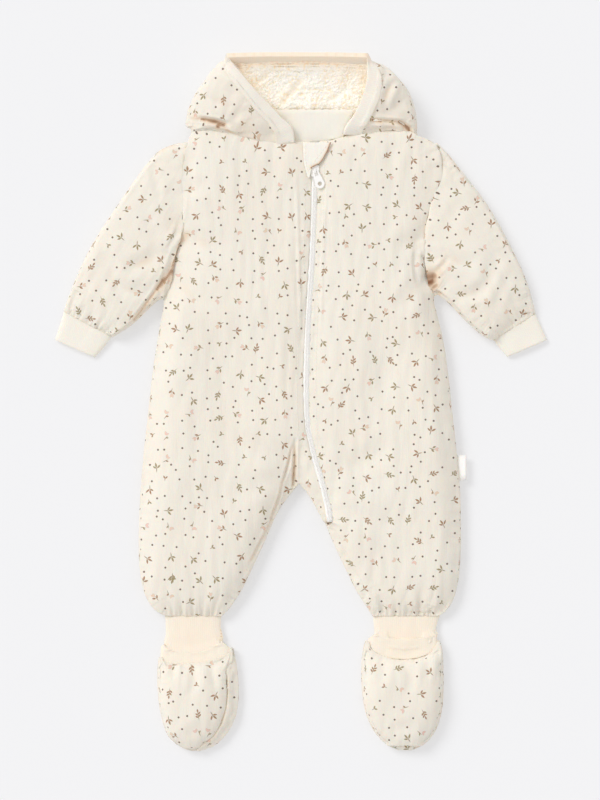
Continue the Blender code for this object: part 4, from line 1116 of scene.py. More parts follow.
    def rib_relief(self) -> bpy.types.NodeTree:
        """Fine knitted ribs, which run across the first direction of the place.

        Returns:
            A group that gives a height and a painted shade, darker in the grooves.
        """
        made = Group("rib_relief", {"Place": "Vector", "Pitch": "Float"}, self.RELIEF_OUT)
        place = made.given["Place"]
        first = made.node("ShaderNodeSeparateXYZ", {0: place}).outputs[0]
        sway = made.noise(made.stretch(place, 0.08, 0.03), 1.0, 1.0)
        along = made.math("MULTIPLY_ADD", sway, 1.6, first)
        turn = made.math("DIVIDE", along, made.given["Pitch"])
        wave = made.math("SINE", made.math("MULTIPLY", turn, 2 * math.pi))
        ridge = made.math("MULTIPLY_ADD", wave, 0.5, 0.5)
        rows = made.noise(made.stretch(place, 0.4, 1.3), 1.0, 1.0)
        height = made.math("MULTIPLY_ADD", ridge, 0.32, made.math("MULTIPLY", rows, 0.14))
        return made.put(height=height, shade=ridge)

    def pile_relief(self) -> bpy.types.NodeTree:
        """Tight curls of a pile, with painted shade between them in some places.

        Returns:
            A group that gives a height and a shade.
        """
        made = Group("pile_relief", {"Place": "Vector"}, self.RELIEF_OUT)
        place = made.given["Place"]
        sway = made.noise(place, 0.5, 2.0)
        moved = made.vector("ADD", place, made.vector("SCALE", sway, 2.4))
        away = made.cells(moved, 0.4, 1.0, "SMOOTH_F1")["Distance"]
        height = made.math("MULTIPLY_ADD", away, -1.9, made.math("MULTIPLY", sway, 0.6))
        clump = made.math("MULTIPLY_ADD", made.noise(place, 0.1, 2.0), 3.2, -1.1, clamp=True)
        hole = made.math("MULTIPLY_ADD", away, 2.4, -0.6, clamp=True)
        shade = made.math("SUBTRACT", 1.0, made.math("MULTIPLY", hole, clump))
        return made.put(height=height, shade=shade)


# ------------------------------------------------------------------ finishes


def screen_colour(red: int, green: int, blue: int) -> Colour:
    """A colour given as it looks on a screen, as linear light."""
    values = [c / 255 for c in (red, green, blue)]
    return (*(v / 12.92 if v <= 0.04045 else ((v + 0.055) / 1.055) ** 2.4 for v in values), 1.0)


# Painted shade: the warm colour and then the deep brown that cloth turns in its folds and along its
# seams.
FOLD_SHADE_WARM = screen_colour(232, 196, 156)
FOLD_SHADE_DEEP = screen_colour(126, 76, 44)


class Surface(Wiring):
    """A material whose patterns read the cloth's own map."""

    def __init__(self, name: str, mapped: bool = True) -> None:
        """Start a material.

        Args:
            name: The material's name.
            mapped: Whether it reads the cloth's map, or else the object's coordinates.
        """
        self.material = bpy.data.materials.new(name)
        self.material.use_nodes = True
        super().__init__(self.material.node_tree)
        self.shader = self.tree.nodes["Principled BSDF"]
        if mapped:
            source = self.node("ShaderNodeUVMap", uv_map=CLOTH_MAP).outputs[0]
            self.place = self.vector("SCALE", source, MAP_UNIT)
        else:
            source = self.node("ShaderNodeTexCoord").outputs["Object"]
            self.place = self.vector("SCALE", source, 1 / MM)

    def dress(self, values: dict[str, object]) -> None:
        """Feed or set the shader's inputs by name."""
        for name, value in values.items():
            self.feed(self.shader.inputs[name], value)

    def fold_shade(self) -> Socket:
        """How much painted shade a place gets, most in the depth of a fold."""
        return self.node("ShaderNodeAttribute", attribute_name=FOLD_SHADE).outputs["Fac"]

    def folded(self, colour: object, share: float) -> Socket:
        """A colour painted with shade: it turns warm and then brown in the depth of the folds.

        Args:
            colour: The colour outside the folds.
            share: How strongly it turns.

        Returns:
            The colour.
        """
        shade = self.fold_shade()
        warm = self.blend(self.math("MULTIPLY", shade, share), colour, FOLD_SHADE_WARM)
        depth = self.math("MULTIPLY_ADD", shade, 2.0, -1.05, clamp=True)
        return self.blend(self.math("MULTIPLY", depth, share * 1.12), warm, FOLD_SHADE_DEEP)

    def glow(self, colour: Colour, base: float, folds: float) -> None:
        """Paint a glow on the cloth as emission: a little outside its folds, and more in them.

        Args:
            colour: The painted glow's colour.
            base: Its strength outside the folds, none where this is below zero.
            folds: What the deepest fold adds.
        """
        strength = self.math("MULTIPLY_ADD", self.fold_shade(), folds, base)
        strength = self.math("MAXIMUM", strength, 0.0)
        self.dress({"Emission Color": colour, "Emission Strength": strength})

    def bump(self, height: Socket, strength: float) -> None:
        """Let a height in millimetres shape the light."""
        values = {"Strength": strength, "Distance": MM, "Height": height}
        self.dress({"Normal": self.node("ShaderNodeBump", values).outputs[0]})

    def cloth_gloss(self, roughness: float, sheen: float) -> None:
        """Set the plain gloss of cotton.

        Args:
            roughness: The shader's roughness.
            sheen: Its sheen's weight.
        """
        self.dress(
            {
                "Roughness": roughness,
                "Specular IOR Level": 0.25,
                "Sheen Weight": sheen,
                "Sheen Roughness": 0.5,
                "Subsurface Weight": 0.18,
                "Subsurface Radius": (1.0, 0.55, 0.35),
                "Subsurface Scale": 2.5 * MM,
            }
        )


@dataclass(frozen=True)
class PrintedGauze:
    """The shell's cream double gauze with its small print."""

    ground: Colour = screen_colour(241, 237, 225)
    warm: Colour = screen_colour(244, 234, 218)
    leaf: Colour = screen_colour(150, 132, 84)
    dry_leaf: Colour = screen_colour(160, 112, 70)
    petal: Colour = screen_colour(238, 198, 184)
    pale_petal: Colour = screen_colour(234, 208, 182)
    stem: Colour = screen_colour(150, 130, 92)
    dot: Colour = screen_colour(92, 68, 54)

    def material(self, effects: Effects) -> bpy.types.Material:
        """Build the material.

        Args:
            effects: The shared effects.

        Returns:
            The material.
        """
        cloth = Surface("printed_gauze")
        gauze = cloth.group(effects.gauze, place=cloth.place)
        # the ground colour follows that shade: a random tone, and in part painted shade on the
        # crinkles
        ground = cloth.blend(gauze["Shade"], self.ground, self.warm)
        names = ("leaf", "dry_leaf", "petal", "pale_petal", "stem", "dot")
        colours = {name: getattr(self, name) for name in names}
        drawn = cloth.group(effects.print, place=cloth.place, **colours)
        ink = cloth.math("MULTIPLY_ADD", cloth.noise(cloth.place, 1.4, 1.0), 0.5, 0.62)
        mask = cloth.math("MULTIPLY", drawn["Mask"], ink, clamp=True)
        colour = cloth.blend(mask, ground, drawn["Color"])
        cloth.dress({"Base Color": cloth.folded(colour, 0.85)})
        cloth.cloth_gloss(0.88, 0.15)
        cloth.bump(gauze["Height"], 0.36)
        return cloth.material


@dataclass(frozen=True)
class UnprintedCloth:
    """Cloth of two close colours that follow its relief as painted shade, with an optional painted
    glow.
    """

    name: str = ""
    low: Colour = screen_colour(250, 244, 232)
    high: Colour = screen_colour(250, 244, 232)
    fold_share: float = 0.8
    roughness: float = 0.85
    sheen: float = 0.2
    bump: float = 0.4
    # colour of the painted glow, then its strength outside the folds and what the deepest fold adds
    light: Colour | None = None
    painted_glow_base: float = 0.0
    painted_glow_folds: float = 0.0

    def material(self, relief: bpy.types.NodeTree, **values: object) -> bpy.types.Material:
        """Build the material.

        Args:
            relief: The group that shapes the cloth.
            values: What the group's own inputs get.

        Returns:
            The material.
        """
        cloth = Surface(self.name)
        shaped = cloth.group(relief, place=cloth.place, **values)
        # painted shade: the low colour in the relief's hollows, the high one on its tops
        colour = cloth.blend(shaped["Shade"], self.low, self.high)
        cloth.dress({"Base Color": cloth.folded(colour, self.fold_share)})
        if self.light:
            cloth.glow(self.light, self.painted_glow_base, self.painted_glow_folds)
        cloth.cloth_gloss(self.roughness, self.sheen)
        cloth.bump(shaped["Height"], self.bump)
        return cloth.material


@dataclass(frozen=True)
class PlainCotton(UnprintedCloth):
    """Plain cream cotton of the flap and the facing."""

    name: str = "plain_cotton"
    low: Colour = screen_colour(252, 248, 238)
    high: Colour = screen_colour(252, 244, 230)
    fold_share: float = 0.85
    sheen: float = 0.15
    bump: float = 0.35


@dataclass(frozen=True)
class RibKnit(UnprintedCloth):
    """Warm cream rib of the cuffs, ankles and hood edge."""

    name: str = "rib_knit"
    # painted shade: a little darker in the grooves than on the ridges
    low: Colour = screen_colour(249, 241, 227)
    high: Colour = screen_colour(250, 244, 232)
    fold_share: float = 0.6
    roughness: float = 0.8
    bump: float = 0.22
    # painted glow: none outside the folds, and up to 0.24 in the deepest
    light: Colour | None = screen_colour(255, 224, 170)
    painted_glow_base: float = -0.06
    painted_glow_folds: float = 0.3


@dataclass(frozen=True)
class CurlyPile(UnprintedCloth):
    """Cream curly pile of the hood's lining."""

    name: str = "curly_pile"
    # painted shade: darker between the curls, lighter on their tips
    low: Colour = screen_colour(246, 226, 194)
    high: Colour = screen_colour(255, 252, 243)
    roughness: float = 0.95
    bump: float = 0.6
    # painted glow that brightens the whole lining, and more in its folds
    light: Colour | None = screen_colour(255, 240, 216)
    painted_glow_base: float = 0.15
    painted_glow_folds: float = 0.16


@dataclass(frozen=True)
class WovenTape:
    """White woven tape of the zip, the tab and the stitches."""

    name: str
    ground: Colour = screen_colour(252, 250, 246)
    # painted shade: the valley colour lies in the grooves between the ribs
    valley: Colour = screen_colour(244, 240, 234)
    pitch: float = 1.1

    def material(self, rib: bpy.types.NodeTree) -> bpy.types.Material:
        """Build the material.

        Args:
            rib: The group of fine ribs.

        Returns:
            The material.
        """
        cloth = Surface(self.name, mapped=False)
        place = cloth.turned(cloth.place, math.pi / 2)
        woven = cloth.group(rib, place=place, pitch=self.pitch)
        cloth.dress({"Base Color": cloth.blend(woven["Shade"], self.valley, self.ground)})
        cloth.cloth_gloss(0.75, 0.1)
        # painted glow that brightens the tape all over
        cloth.dress({"Emission Color": self.ground, "Emission Strength": 0.1})
        cloth.bump(woven["Height"], 0.3)
        return cloth.material


@dataclass(frozen=True)
class MouldedPlastic:
    """White moulded plastic of the zip."""

    ground: Colour = screen_colour(252, 250, 246)
    shade: Colour = screen_colour(242, 240, 236)

    def material(self) -> bpy.types.Material:
        """Build the material.

        Returns:
            The material.
        """
        plastic = Surface("moulded_plastic", mapped=False)
        grain = plastic.noise(plastic.place, 1.7, 2.0)
        plastic.dress(
            {
                "Base Color": plastic.blend(grain, self.shade, self.ground),
                "Roughness": plastic.math("MULTIPLY_ADD", grain, 0.15, 0.28),
                # painted glow that brightens the plastic all over
                "Emission Color": self.ground,
                "Emission Strength": 0.07,
            }
        )
        plastic.bump(plastic.math("MULTIPLY", grain, 0.05), 0.4)
        return plastic.material


class Finish(Enum):
    """The garment's finishes."""

    SHELL = "shell"
    RIB = "rib"
    PILE = "pile"
    FACING = "facing"
    TAPE = "zip_tape"
    PLASTIC = "zip_plastic"
    TAB = "tab"
    THREAD = "thread"


class Wardrobe:
    """Every material, by finish."""

    def __init__(self) -> None:
        """Build the effects and then the materials."""
        effects = Effects()
        thread = WovenTape(
            "sewing_thread", screen_colour(250, 243, 230), screen_colour(232, 220, 200), 0.7
        )
        self.materials = {
            Finish.SHELL: PrintedGauze().material(effects),
            Finish.RIB: RibKnit().material(effects.rib, pitch=1.9),
            Finish.PILE: CurlyPile().material(effects.pile),
            Finish.FACING: PlainCotton().material(effects.gauze),
            Finish.TAPE: WovenTape("woven_tape").material(effects.rib),
            Finish.TAB: WovenTape("folded_tape", pitch=0.9).material(effects.rib),
            Finish.THREAD: thread.material(effects.rib),
            Finish.PLASTIC: MouldedPlastic().material(),
        }

    def __getitem__(self, finish: Finish) -> bpy.types.Material:
        """The material of one finish."""
        return self.materials[finish]


# ------------------------------------------------------------------ small bars and stitches


def loft(work: bmesh.types.BMesh, rings: list[list[Vector]]) -> None:
    """Skin rings of points into a closed bar.

    Args:
        work: The mesh to add it to.
        rings: Its rings, each with the same number of points.
    """
    loops = [[work.verts.new(spot) for spot in ring] for ring in rings]
    for first, second in zip(loops, loops[1:]):
        for i in range(len(first)):
            j = (i + 1) % len(first)
            work.faces.new((first[i], first[j], second[j], second[i]))
    work.faces.new(loops[0][::-1])
    work.faces.new(loops[-1])


def finish_bars(name: str, work: bmesh.types.BMesh, finish: bpy.types.Material) -> bpy.types.Object:
    """Make one piece of the suit from bars, and free their mesh.

    Args:
        name: The piece's name.
        work: The bars.
        finish: Their material.

    Returns:
        The object.
    """
    mesh = bpy.data.meshes.new(name)
    work.to_mesh(mesh)
    work.free()
    mesh.materials.append(finish)
    mesh.shade_smooth()
    made = bpy.data.objects.new(name, mesh)
    bpy.context.scene.collection.objects.link(made)
    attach(made, SUIT)
    return made


class Seamstress:
    """Sews rows of stitches on to finished cloth."""

    STITCH = 2.3
    STEP = 3.3
    THICK = 0.32
    SIDES = 6
    # share of the stitch, share of its thickness, height of its middle over the cloth
    PROFILE = ((0.0, 0.45, -0.12), (0.25, 1.0, 0.1), (0.75, 1.0, 0.1), (1.0, 0.45, -0.12))

    def __init__(self, thread: bpy.types.Material) -> None:
        """Keep the thread."""
        self.thread = thread

    def sew(self, name: str, line: list[Place], *cloths: bpy.types.Object) -> None:
        """Lay one row of stitches along a line.

        Args:
            name: The row's name.
            line: Plan points in millimetres.
            cloths: Pieces that the stitches may lie on.
        """
        trees = [
            BVHTree.FromPolygons(
                [tuple(v.co) for v in cloth.data.vertices],
                [tuple(p.vertices) for p in cloth.data.polygons],
            )
            for cloth in cloths
        ]
        spots = self.evenly(np.array(line, float))
        work = bmesh.new()
        for start, end in spots:
            ends = [self.land(trees, place) for place in (start, end)]
            if None not in ends and abs(ends[0].z - ends[1].z) < 2 * MM:
                self.stitch(work, *ends)
        finish_bars(name, work, self.thread)
        LOG.info("%s: %d stitches", name, len(spots))

    def evenly(self, line: np.ndarray) -> list[tuple[np.ndarray, np.ndarray]]:
        """Divide a line into stitches.

        Args:
            line: Its corners.

        Returns:
            Both ends of each stitch.
        """
        spans = np.linalg.norm(np.diff(line, axis=0), axis=1)
        lengths = np.concatenate([[0.0], np.cumsum(spans)])
        starts = np.arange(0.0, lengths[-1] - self.STITCH, self.STEP)

        def at(length: float) -> np.ndarray:
            """The place at a length along the line."""
            return np.array([np.interp(length, lengths, line[:, i]) for i in (0, 1)])

        return [(at(s), at(s + self.STITCH)) for s in starts]

    def land(self, trees: list[BVHTree], place: np.ndarray) -> Vector | None:
        """The highest cloth under a plan place.

        Args:
            trees: The faces of each cloth.
            place: A point in millimetres.

        Returns:
            A point in metres, or nothing where there is no cloth.
        """
        above = Vector((place[0] * MM, place[1] * MM, ABOVE_ALL))
        hits = [tree.ray_cast(above, Vector((0, 0, -1)))[0] for tree in trees]
        return max((spot for spot in hits if spot is not None), key=lambda s: s.z, default=None)

    def stitch(self, work: bmesh.types.BMesh, start: Vector, end: Vector) -> None:
        """Add one rounded stitch, half sunk at its ends.

        Args:
            work: The row's mesh.
            start: Where it leaves the cloth.
            end: Where it goes back in.
        """
        way = end - start
        side = way.cross(Vector((0, 0, 1))).normalized()
        rings = []
        for part, size, lift in self.PROFILE:
            middle = start + way * part + Vector((0, 0, lift * MM))
            reach = self.THICK * size * MM
            ring = []
            for i in range(self.SIDES):
                turn = 2 * math.pi * i / self.SIDES
                spot = middle + side * math.cos(turn) * reach
                spot.z += math.sin(turn) * reach * 0.8
                ring.append(spot)
            rings.append(ring)
        loft(work, rings)


# ------------------------------------------------------------------ sub-assemblies


@dataclass
class Assembly:
    """A group of pieces that share the wardrobe."""

    wardrobe: Wardrobe
    pieces: dict[str, bpy.types.Object] = field(default_factory=dict)

    FILL = 0.5
    SOFT_EDGE = 0.35  # crispness of the padded pieces' rims

    def padded(self, node: str, **settings: object) -> None:
        """Args:
            node: The solid it stands for.
            settings: The cloth piece's own values.
        """
        made = ClothPiece(node, Finish.SHELL.value, self.wardrobe[Finish.SHELL], **settings).build()
        self.keep(node, made)

    def sheet(
        self,
        node: str,
        finish: Finish,
        flat: Place,
        rests_on: str,
        area: float | None = None,
        **settings: object,
    ) -> None:
        """Make one piece of thin cloth.

        Args:
            node: The solid it stands for.
            finish: Its finish.
            flat: Width and length of its cut in metres; not used.
            rests_on: The node it lies on; not used.
            area: Its cut in square metres where that isn't a rectangle; not used.
            settings: The cloth piece's own values.
        """
        made = ClothPiece(node, finish.value, self.wardrobe[finish], **settings).build()
        self.keep(node, made)

    def keep(self, node: str, made: bpy.types.Object) -> None:
        """Remember a piece and report it."""
        self.pieces[node] = made
        LOG.info("%s: %d points", made.name, len(made.data.vertices))


# x, y, reach, up, painted shade: less at the shoulders, more at the underarms
ARMHOLES = {
    "right": (
        Nudge(-118, 210, 40, 0.4, -0.3),
        Nudge(-121, 152, 16, -0.4, 0.7),
        Nudge(-134, 122, 18, -0.6, 0.8),
    ),
    "left": (Nudge(132, 215, 40, 0.4, -0.3), Nudge(130, 122, 14, -0.8, 0.9)),
}


@dataclass
class Body(Assembly):
    """Fronts and back, with the legs."""

    relief: Relief = Relief(swell=1.5, ripple=0.9, pucker=0.9)
    back_relief: Relief = Relief(swell=0.6, ripple=0.5, pucker=0.7, seed=23)
    # x, y, to x, to y, width, depth, bend
    right_folds: tuple[Crease, ...] = creases(
        (-119, 164, -80, 146, 9.0, 1.8, 3.0),
        (-128, 128, -92, 92, 8.0, 1.8, -3.0),
        (-122, 206, -88, 214, 7.0, 1.2, 2.0),
        (-70, 262, -60, 226, 7.0, 1.5, 2.0),
        (-30, 252, -26, 222, 6.0, 1.0, 1.0),
        (-6.0, -36, -6.8, -90, 1.7, 3.4, 0.0),
        (-8.5, -42, -19, -84, 1.3, 2.2, 1.0),
        (-18, -82, -32, -122, 1.3, 2.0, 1.0),
        (-30, -118, -52, -162, 1.4, 1.6, 1.0),
        (-20, -56, -84, -24, 10.0, 1.5, 4.0),
        (-16, -78, -70, -96, 9.0, 1.3, -3.0),
        (-100, 60, -60, -30, 12.0, 1.0, 5.0),
        (-70, 120, -40, 40, 10.0, 0.9, -4.0),
        (-13, -96, -62, -190, 1.8, 1.2, 3.0),
        (-6, 240, -1, 60, 1.7, -0.7, 1.0),
    )
    left_folds: tuple[Crease, ...] = creases(
        (122, 150, 125, 118, 3.0, 3.0, 1.0),
        (114, 150, 116, 116, 2.2, 1.4, -2.0),
        (124, 160, 92, 150, 8.0, 1.6, -3.0),
        (124, 128, 90, 88, 8.0, 1.7, 3.0),
        (100, 262, 86, 226, 7.0, 1.4, -2.0),
        (60, 258, 52, 228, 6.0, 1.0, -2.0),
        (30, -70, 92, -40, 9.0, 1.4, -4.0),
        (36, -110, 96, -128, 10.0, 1.2, 3.0),
        (60, 90, 84, 10, 12.0, 1.0, 4.0),
        (34, -128, 68, -196, 1.8, 1.2, -3.0),
        (27, 240, 19, 60, 1.7, -0.7, -1.0),
        (100, 60, 66, -30, 11.0, 0.9, -5.0),
    )
    # painted warm shade in the fold at the armhole and in the creases at the crotch
    right_hollows: tuple[Hollow, ...] = (
        *painted_shade_line(2.4, 0.55, (-113, 166), (-116.5, 159)),
        *painted_shade_line(1.7, 0.72, (-6.3, -56), (-7.0, -84)),
        *painted_shade_line(1.3, 0.42, (-8.5, -44), (-18.5, -82), (-31, -120), (-50, -158)),
    )
    ankle_right: Gather = Gather(-136, -213, -79, -213, 30.0, 0.6)
    ankle_left: Gather = Gather(72, -213, 138, -213, 34.0, 0.7, mirrored=True)
    under_flap: Row = (15.0, 238.0, 26.0)

    def build(self) -> None:
        """Make the three panels."""
        for side, folds, gather, own in (
            ("right", self.right_folds, self.ankle_right, {"hollows": self.right_hollows}),
            ("left", self.left_folds, self.ankle_left, {"offset": (7.0, 11.0)}),
        ):
            self.padded(
                f"front_{side}",
                relief=self.relief,
                creases=folds + gather.creases(),
                calm=(self.under_flap,),
                nudges=ARMHOLES[side],
                flush=(f"sleeve_{side}",),
                closes=(f"hood_{side}", "neck_facing"),
                spread=0.5,
                crispness=self.SOFT_EDGE,
                **own,
            )
        self.padded("back", relief=self.back_relief, levels=2, offset=(31.0, 5.0))


@dataclass
class Sleeves(Assembly):
    """Both sleeves and their cuffs."""

    relief: Relief = Relief(swell=1.4, ripple=0.9, pucker=1.0, seed=41)
    knit: Relief = Relief(swell=0.5, ripple=0.25, swell_size=18.0, seed=51)
    # x, y, to x, to y, width, depth, bend
    right_folds: tuple[Crease, ...] = creases(
        (-122, 158, -143, 112, 2.2, 2.2, 1.5),
        (-141, 116, -167, 81, 1.7, 1.8, 1.0),
        (-121, 178, -133, 150, 2.0, 1.4, 1.5),
        (-139, 150, -176, 132, 7.0, 2.2, 4.0),
        (-150, 108, -186, 118, 6.0, 1.8, 3.0),
        (-158, 196, -146, 160, 7.0, 1.4, 3.0),
        (-196, 150, -172, 96, 7.0, 1.6, -4.0),
        (-150, 236, -142, 200, 4.0, 1.2, 2.0),
        (-208, 128, -190, 92, 5.0, 1.4, 2.0),
    )
    left_folds: tuple[Crease, ...] = creases(
        (127, 131, 133, 111, 4.0, 2.4, 1.0),
        (130, 125, 147, 143, 2.6, 1.6, -1.0),
        (139, 150, 174, 136, 7.0, 2.0, -4.0),
        (152, 104, 186, 116, 6.0, 1.8, -3.0),
        (146, 250, 160, 224, 2.2, 1.3, 1.0),
        (196, 152, 172, 98, 7.0, 1.6, 4.0),
        (160, 200, 148, 166, 7.0, 1.4, -3.0),
        (208, 130, 192, 88, 5.0, 1.3, -2.0),
    )
    # painted warm and brown shade in the underarm folds and along the seams
    right_hollows: tuple[Hollow, ...] = (
        *painted_shade_line(2.4, 0.72, (-119, 163), (-124, 148), (-131, 130)),
        *painted_shade_line(2.4, 0.9, (-131, 130), (-143, 111)),
        *painted_shade_line(1.9, 0.66, (-143, 111), (-154, 96), (-166, 81)),
        *painted_shade_line(2.0, 0.6, (-127, 136), (-134, 121)),
        *painted_shade_line(2.6, 0.3, (-143, 247), (-128, 255)),
        Hollow(-126, 176, 9.0, 0.16),
    )
    # painted brown shade deep in the underarm fold, paler further out
    left_hollows: tuple[Hollow, ...] = (
        *hollows(
            (126.5, 124, 7.5, 1.0),
            (131, 124, 6.0, 0.9),
            (130, 119, 6.0, 1.0),
            (134, 115, 4.0, 0.8),
            (136, 128, 6.0, 0.5),
            (142, 136, 6.0, 0.3),
            (147, 142, 6.0, 0.15),
            (138, 107, 2.6, 0.6),
        ),
        *painted_shade_line(1.2, 0.4, (147, 245), (156, 230)),
    )
    cuff_right: Gather = Gather(-189, 64, -237, 91, -22.0, 0.45)
    cuff_left: Gather = Gather(234, 89, 192, 61, -22.0, 0.45, True)

    def build(self) -> None:
        """Make the sleeves and then the cuffs."""
        for side, folds, gather, shades, grain, offset in (
            ("right", self.right_folds, self.cuff_right, self.right_hollows, -31.0, (0.0, 0.0)),
            ("left", self.left_folds, self.cuff_left, self.left_hollows, 33.0, (17.0, 3.0)),
        ):
            self.padded(
                f"sleeve_{side}",
                relief=self.relief,
                creases=folds + gather.creases(),
                nudges=ARMHOLES[side],
                hollows=shades,
                flush=(f"front_{side}",),
                spread=0.5,
                crispness=self.SOFT_EDGE,
                grain=grain,
                offset=offset,
            )
        for side, flat, grain in (("right", (0.104, 0.030), -29.0), ("left", (0.098, 0.030), 33.0)):
            rests_on = f"sleeve_{side}"
            self.sheet(f"cuff_{side}", Finish.RIB, flat, rests_on, grain=grain, relief=self.knit)


@dataclass
class Hood(Assembly):
    """The hood's shell, pile lining, rib band and facing."""

    relief: Relief = Relief(swell=1.6, ripple=1.0, pucker=1.0, swell_size=30.0, seed=61)
    # x, y, to x, to y, width, depth, bend
    right_folds: tuple[Crease, ...] = creases(
        (-104, 280, -70, 273, 2.2, 3.2, 1.0),
        (-76, 274, -64, 263, 2.0, 2.0, -1.0),
        (-70, 277, -50, 288, 4.0, 1.2, 1.0),
        (-100, 300, -60, 286, 7.0, 1.8, 3.0),
        (-88, 318, -56, 300, 6.0, 1.5, -3.0),
        (-72, 330, -56, 312, 5.0, 1.3, 1.0),
    )
    left_folds: tuple[Crease, ...] = creases(
        (68, 277.5, 106, 275.5, 2.2, 3.0, 0.0),
        (96, 276, 112, 267, 2.2, 2.6, 0.5),
        (70, 268, 96, 271, 2.2, 1.5, 1.0),
        (92, 318, 82, 288, 3.6, 2.4, -2.0),
        (104, 304, 78, 282, 6.0, 1.6, 3.0),
        (84, 330, 76, 308, 4.5, 1.4, 2.0),
    )
    # painted dark shade under the hood's folds on both sides, and paler shade on the panel below
    # them
    right_hollows: tuple[Hollow, ...] = (
        *painted_shade_line(2.2, 0.5, (-109, 281), (-99, 279.5)),
        *painted_shade_line(1.9, 0.92, (-99, 279), (-91, 277.5), (-76, 274)),
        *painted_shade_line(2.4, 0.55, (-76, 273), (-66, 265)),
        *hollows((-82, 273.0, 3.2, 1.0), (-55, 268, 15.0, 0.2)),
    )
    left_hollows: tuple[Hollow, ...] = (
        *painted_shade_line(2.0, 0.95, (71, 277.5), (79, 276.5)),
        *painted_shade_line(1.8, 0.5, (79, 276.5), (98, 275.8)),
        *painted_shade_line(2.2, 0.95, (98, 275.5), (107, 270)),
        *painted_shade_line(2.0, 0.6, (107, 270), (114, 264)),
        Hollow(92, 270, 12.0, 0.22),
    )
    pile_folds: tuple[Crease, ...] = creases(
        (3, 322, -21, 293, 2.6, 1.5, 1.0),
        (-28, 329, -46, 313, 2.6, 1.4, 1.0),
        (50, 316, 26, 296, 3.0, 1.0, 2.0),
    )
    # painted warm shade where the pile lies deep in the hood, under its wall at the top and in its
    # folds
    pile_hollows: tuple[Hollow, ...] = (
        *hollows(
            (-64, 331, 9.0, 0.85),
            (-50, 312, 7.0, 0.35),
            (58, 332, 12.0, 0.45),
            (62, 318, 8.0, 0.35),
            (42, 327, 13.0, 0.28),
        ),
        *painted_shade_line(6.5, 0.72, (-66, 337), (66, 337)),
        *painted_shade_line(2.6, 0.3, (0, 317), (-19, 296)),
        *painted_shade_line(2.6, 0.3, (-33, 325), (-45, 314)),
        *painted_shade_line(2.6, 0.22, (32, 303), (26, 297)),
    )
    rim: tuple[Place, ...] = (
        (-6, 260), (-19, 279), (-41, 302), (-66, 331), (-74, 343),
        (66, 343), (67, 331), (62, 305), (51, 280), (43, 262),
    )

    def build(self) -> None:
        """Make every piece of the hood."""
        for side, folds, shades, grain, offset in (
            ("right", self.right_folds, self.right_hollows, -20.0, (0.0, 0.0)),
            ("left", self.left_folds, self.left_hollows, 20.0, (5.0, 9.0)),
        ):
            self.padded(
                f"hood_{side}",
                relief=self.relief,
                creases=folds,
                hollows=shades,
                closes=(f"front_{side}", "hood_band"),
                crispness=self.SOFT_EDGE,
                grain=grain,
                offset=offset,
            )
        self.sheet(
            "hood_lining",
            Finish.PILE,
            (0.222, 0.112),
            "hood_right",
            relief=Relief(swell=1.5, curl=0.8, swell_size=17.0, seed=71),
            creases=self.pile_folds,
            slope=Slope(300.0, 336.0, 19.0, 35.0),
            hollows=self.pile_hollows,
            longest_edge=1.25,
            fine_width=0.0,
        )
        self.sheet(
            "hood_band",
            Finish.RIB,
            (0.36, 0.018),
            "hood_lining",
            relief=Relief(swell=0.7, ripple=0.3, swell_size=20.0, seed=75),
            widen=5.5,
            over=("hood_right", "hood_left"),
            # painted warm shade on the band's inner face at the top
            hollows=tuple(Hollow(x, 341.0, 8.0, 0.6) for x in range(-66, 66, 10)),
            along=self.rim,
        )
        self.sheet(
            "neck_facing",
            Finish.FACING,
            (0.082, 0.03),
            "hood_lining",
            relief=Relief(swell=0.5, swell_size=20.0, seed=77),
            spread=2.6,
            lift=2.3,
            seam_warmth=0.05,
        )


@dataclass
class Bootie(Assembly):
    """One bootie with its ankle cuff."""

    side: str = "right"
    folds: tuple[Crease, ...] = ()
    band_corners: tuple[Row, ...] = ()
    ankle_flares: tuple[Row, ...] = ()
    ankle_shades: tuple[Hollow, ...] = ()
    shift: float = 0.0
    ankle_width: float = 0.108
    band_height: float = 0.0135
    band_length: float = 0.146
    ankle_length: float = 0.034
    relief: Relief = Relief(swell=1.2, ripple=0.7, pucker=0.9, swell_size=30.0, seed=81)
    knit: Relief = Relief(swell=0.4, ripple=0.3, swell_size=14.0, seed=85)

    def build_padding(self) -> None:
        """Make the bootie's upper and sole."""
        upper, sole, band, _ = self.names()
        shared = {"relief": self.relief, "crispness": self.SOFT_EDGE}
        self.padded(
            upper,
            **shared,
            creases=self.folds,
            flush=(sole,),
            closes=(band,),
            spread=0.7,
            offset=(self.shift, 2.0),
        )
        self.padded(sole, **shared, flush=(upper,), spread=1.2, offset=(self.shift, 13.0))

    def build_rib(self) -> None:
        """Make the ankle cuff and the bootie's band."""
        upper, sole, band, ankle = self.names()
        self.sheet(
            ankle,
            Finish.RIB,
            (self.ankle_width, self.ankle_length),
            band,
            relief=self.knit,
            flush=(band,),
            closes=(f"front_{self.side}", "back"),
            closing_reach=2.5,
            shifts=self.ankle_flares,
            hollows=self.ankle_shades,
            groove=0.0,
            seam_warmth=0.3,
        )
        self.sheet(
            band,
            Finish.RIB,
            (self.band_length, self.band_height),
            sole,
            relief=self.knit,
            flush=(ankle,),
            closes=(upper, sole),
            closing_reach=1.6,
            hollows=self.ankle_shades[:1],
            trims=self.band_corners,
            groove=0.0,
            crispness=0.45,
            sewn_crispness=0.45,
            seam_warmth=0.1,
        )

    def names(self) -> list[str]:
        """The nodes of the upper, the sole, the band and the ankle cuff."""
        kinds = ("bootie_upper", "bootie_sole", "bootie_band", "ankle")
        return [f"{kind}_{self.side}" for kind in kinds]


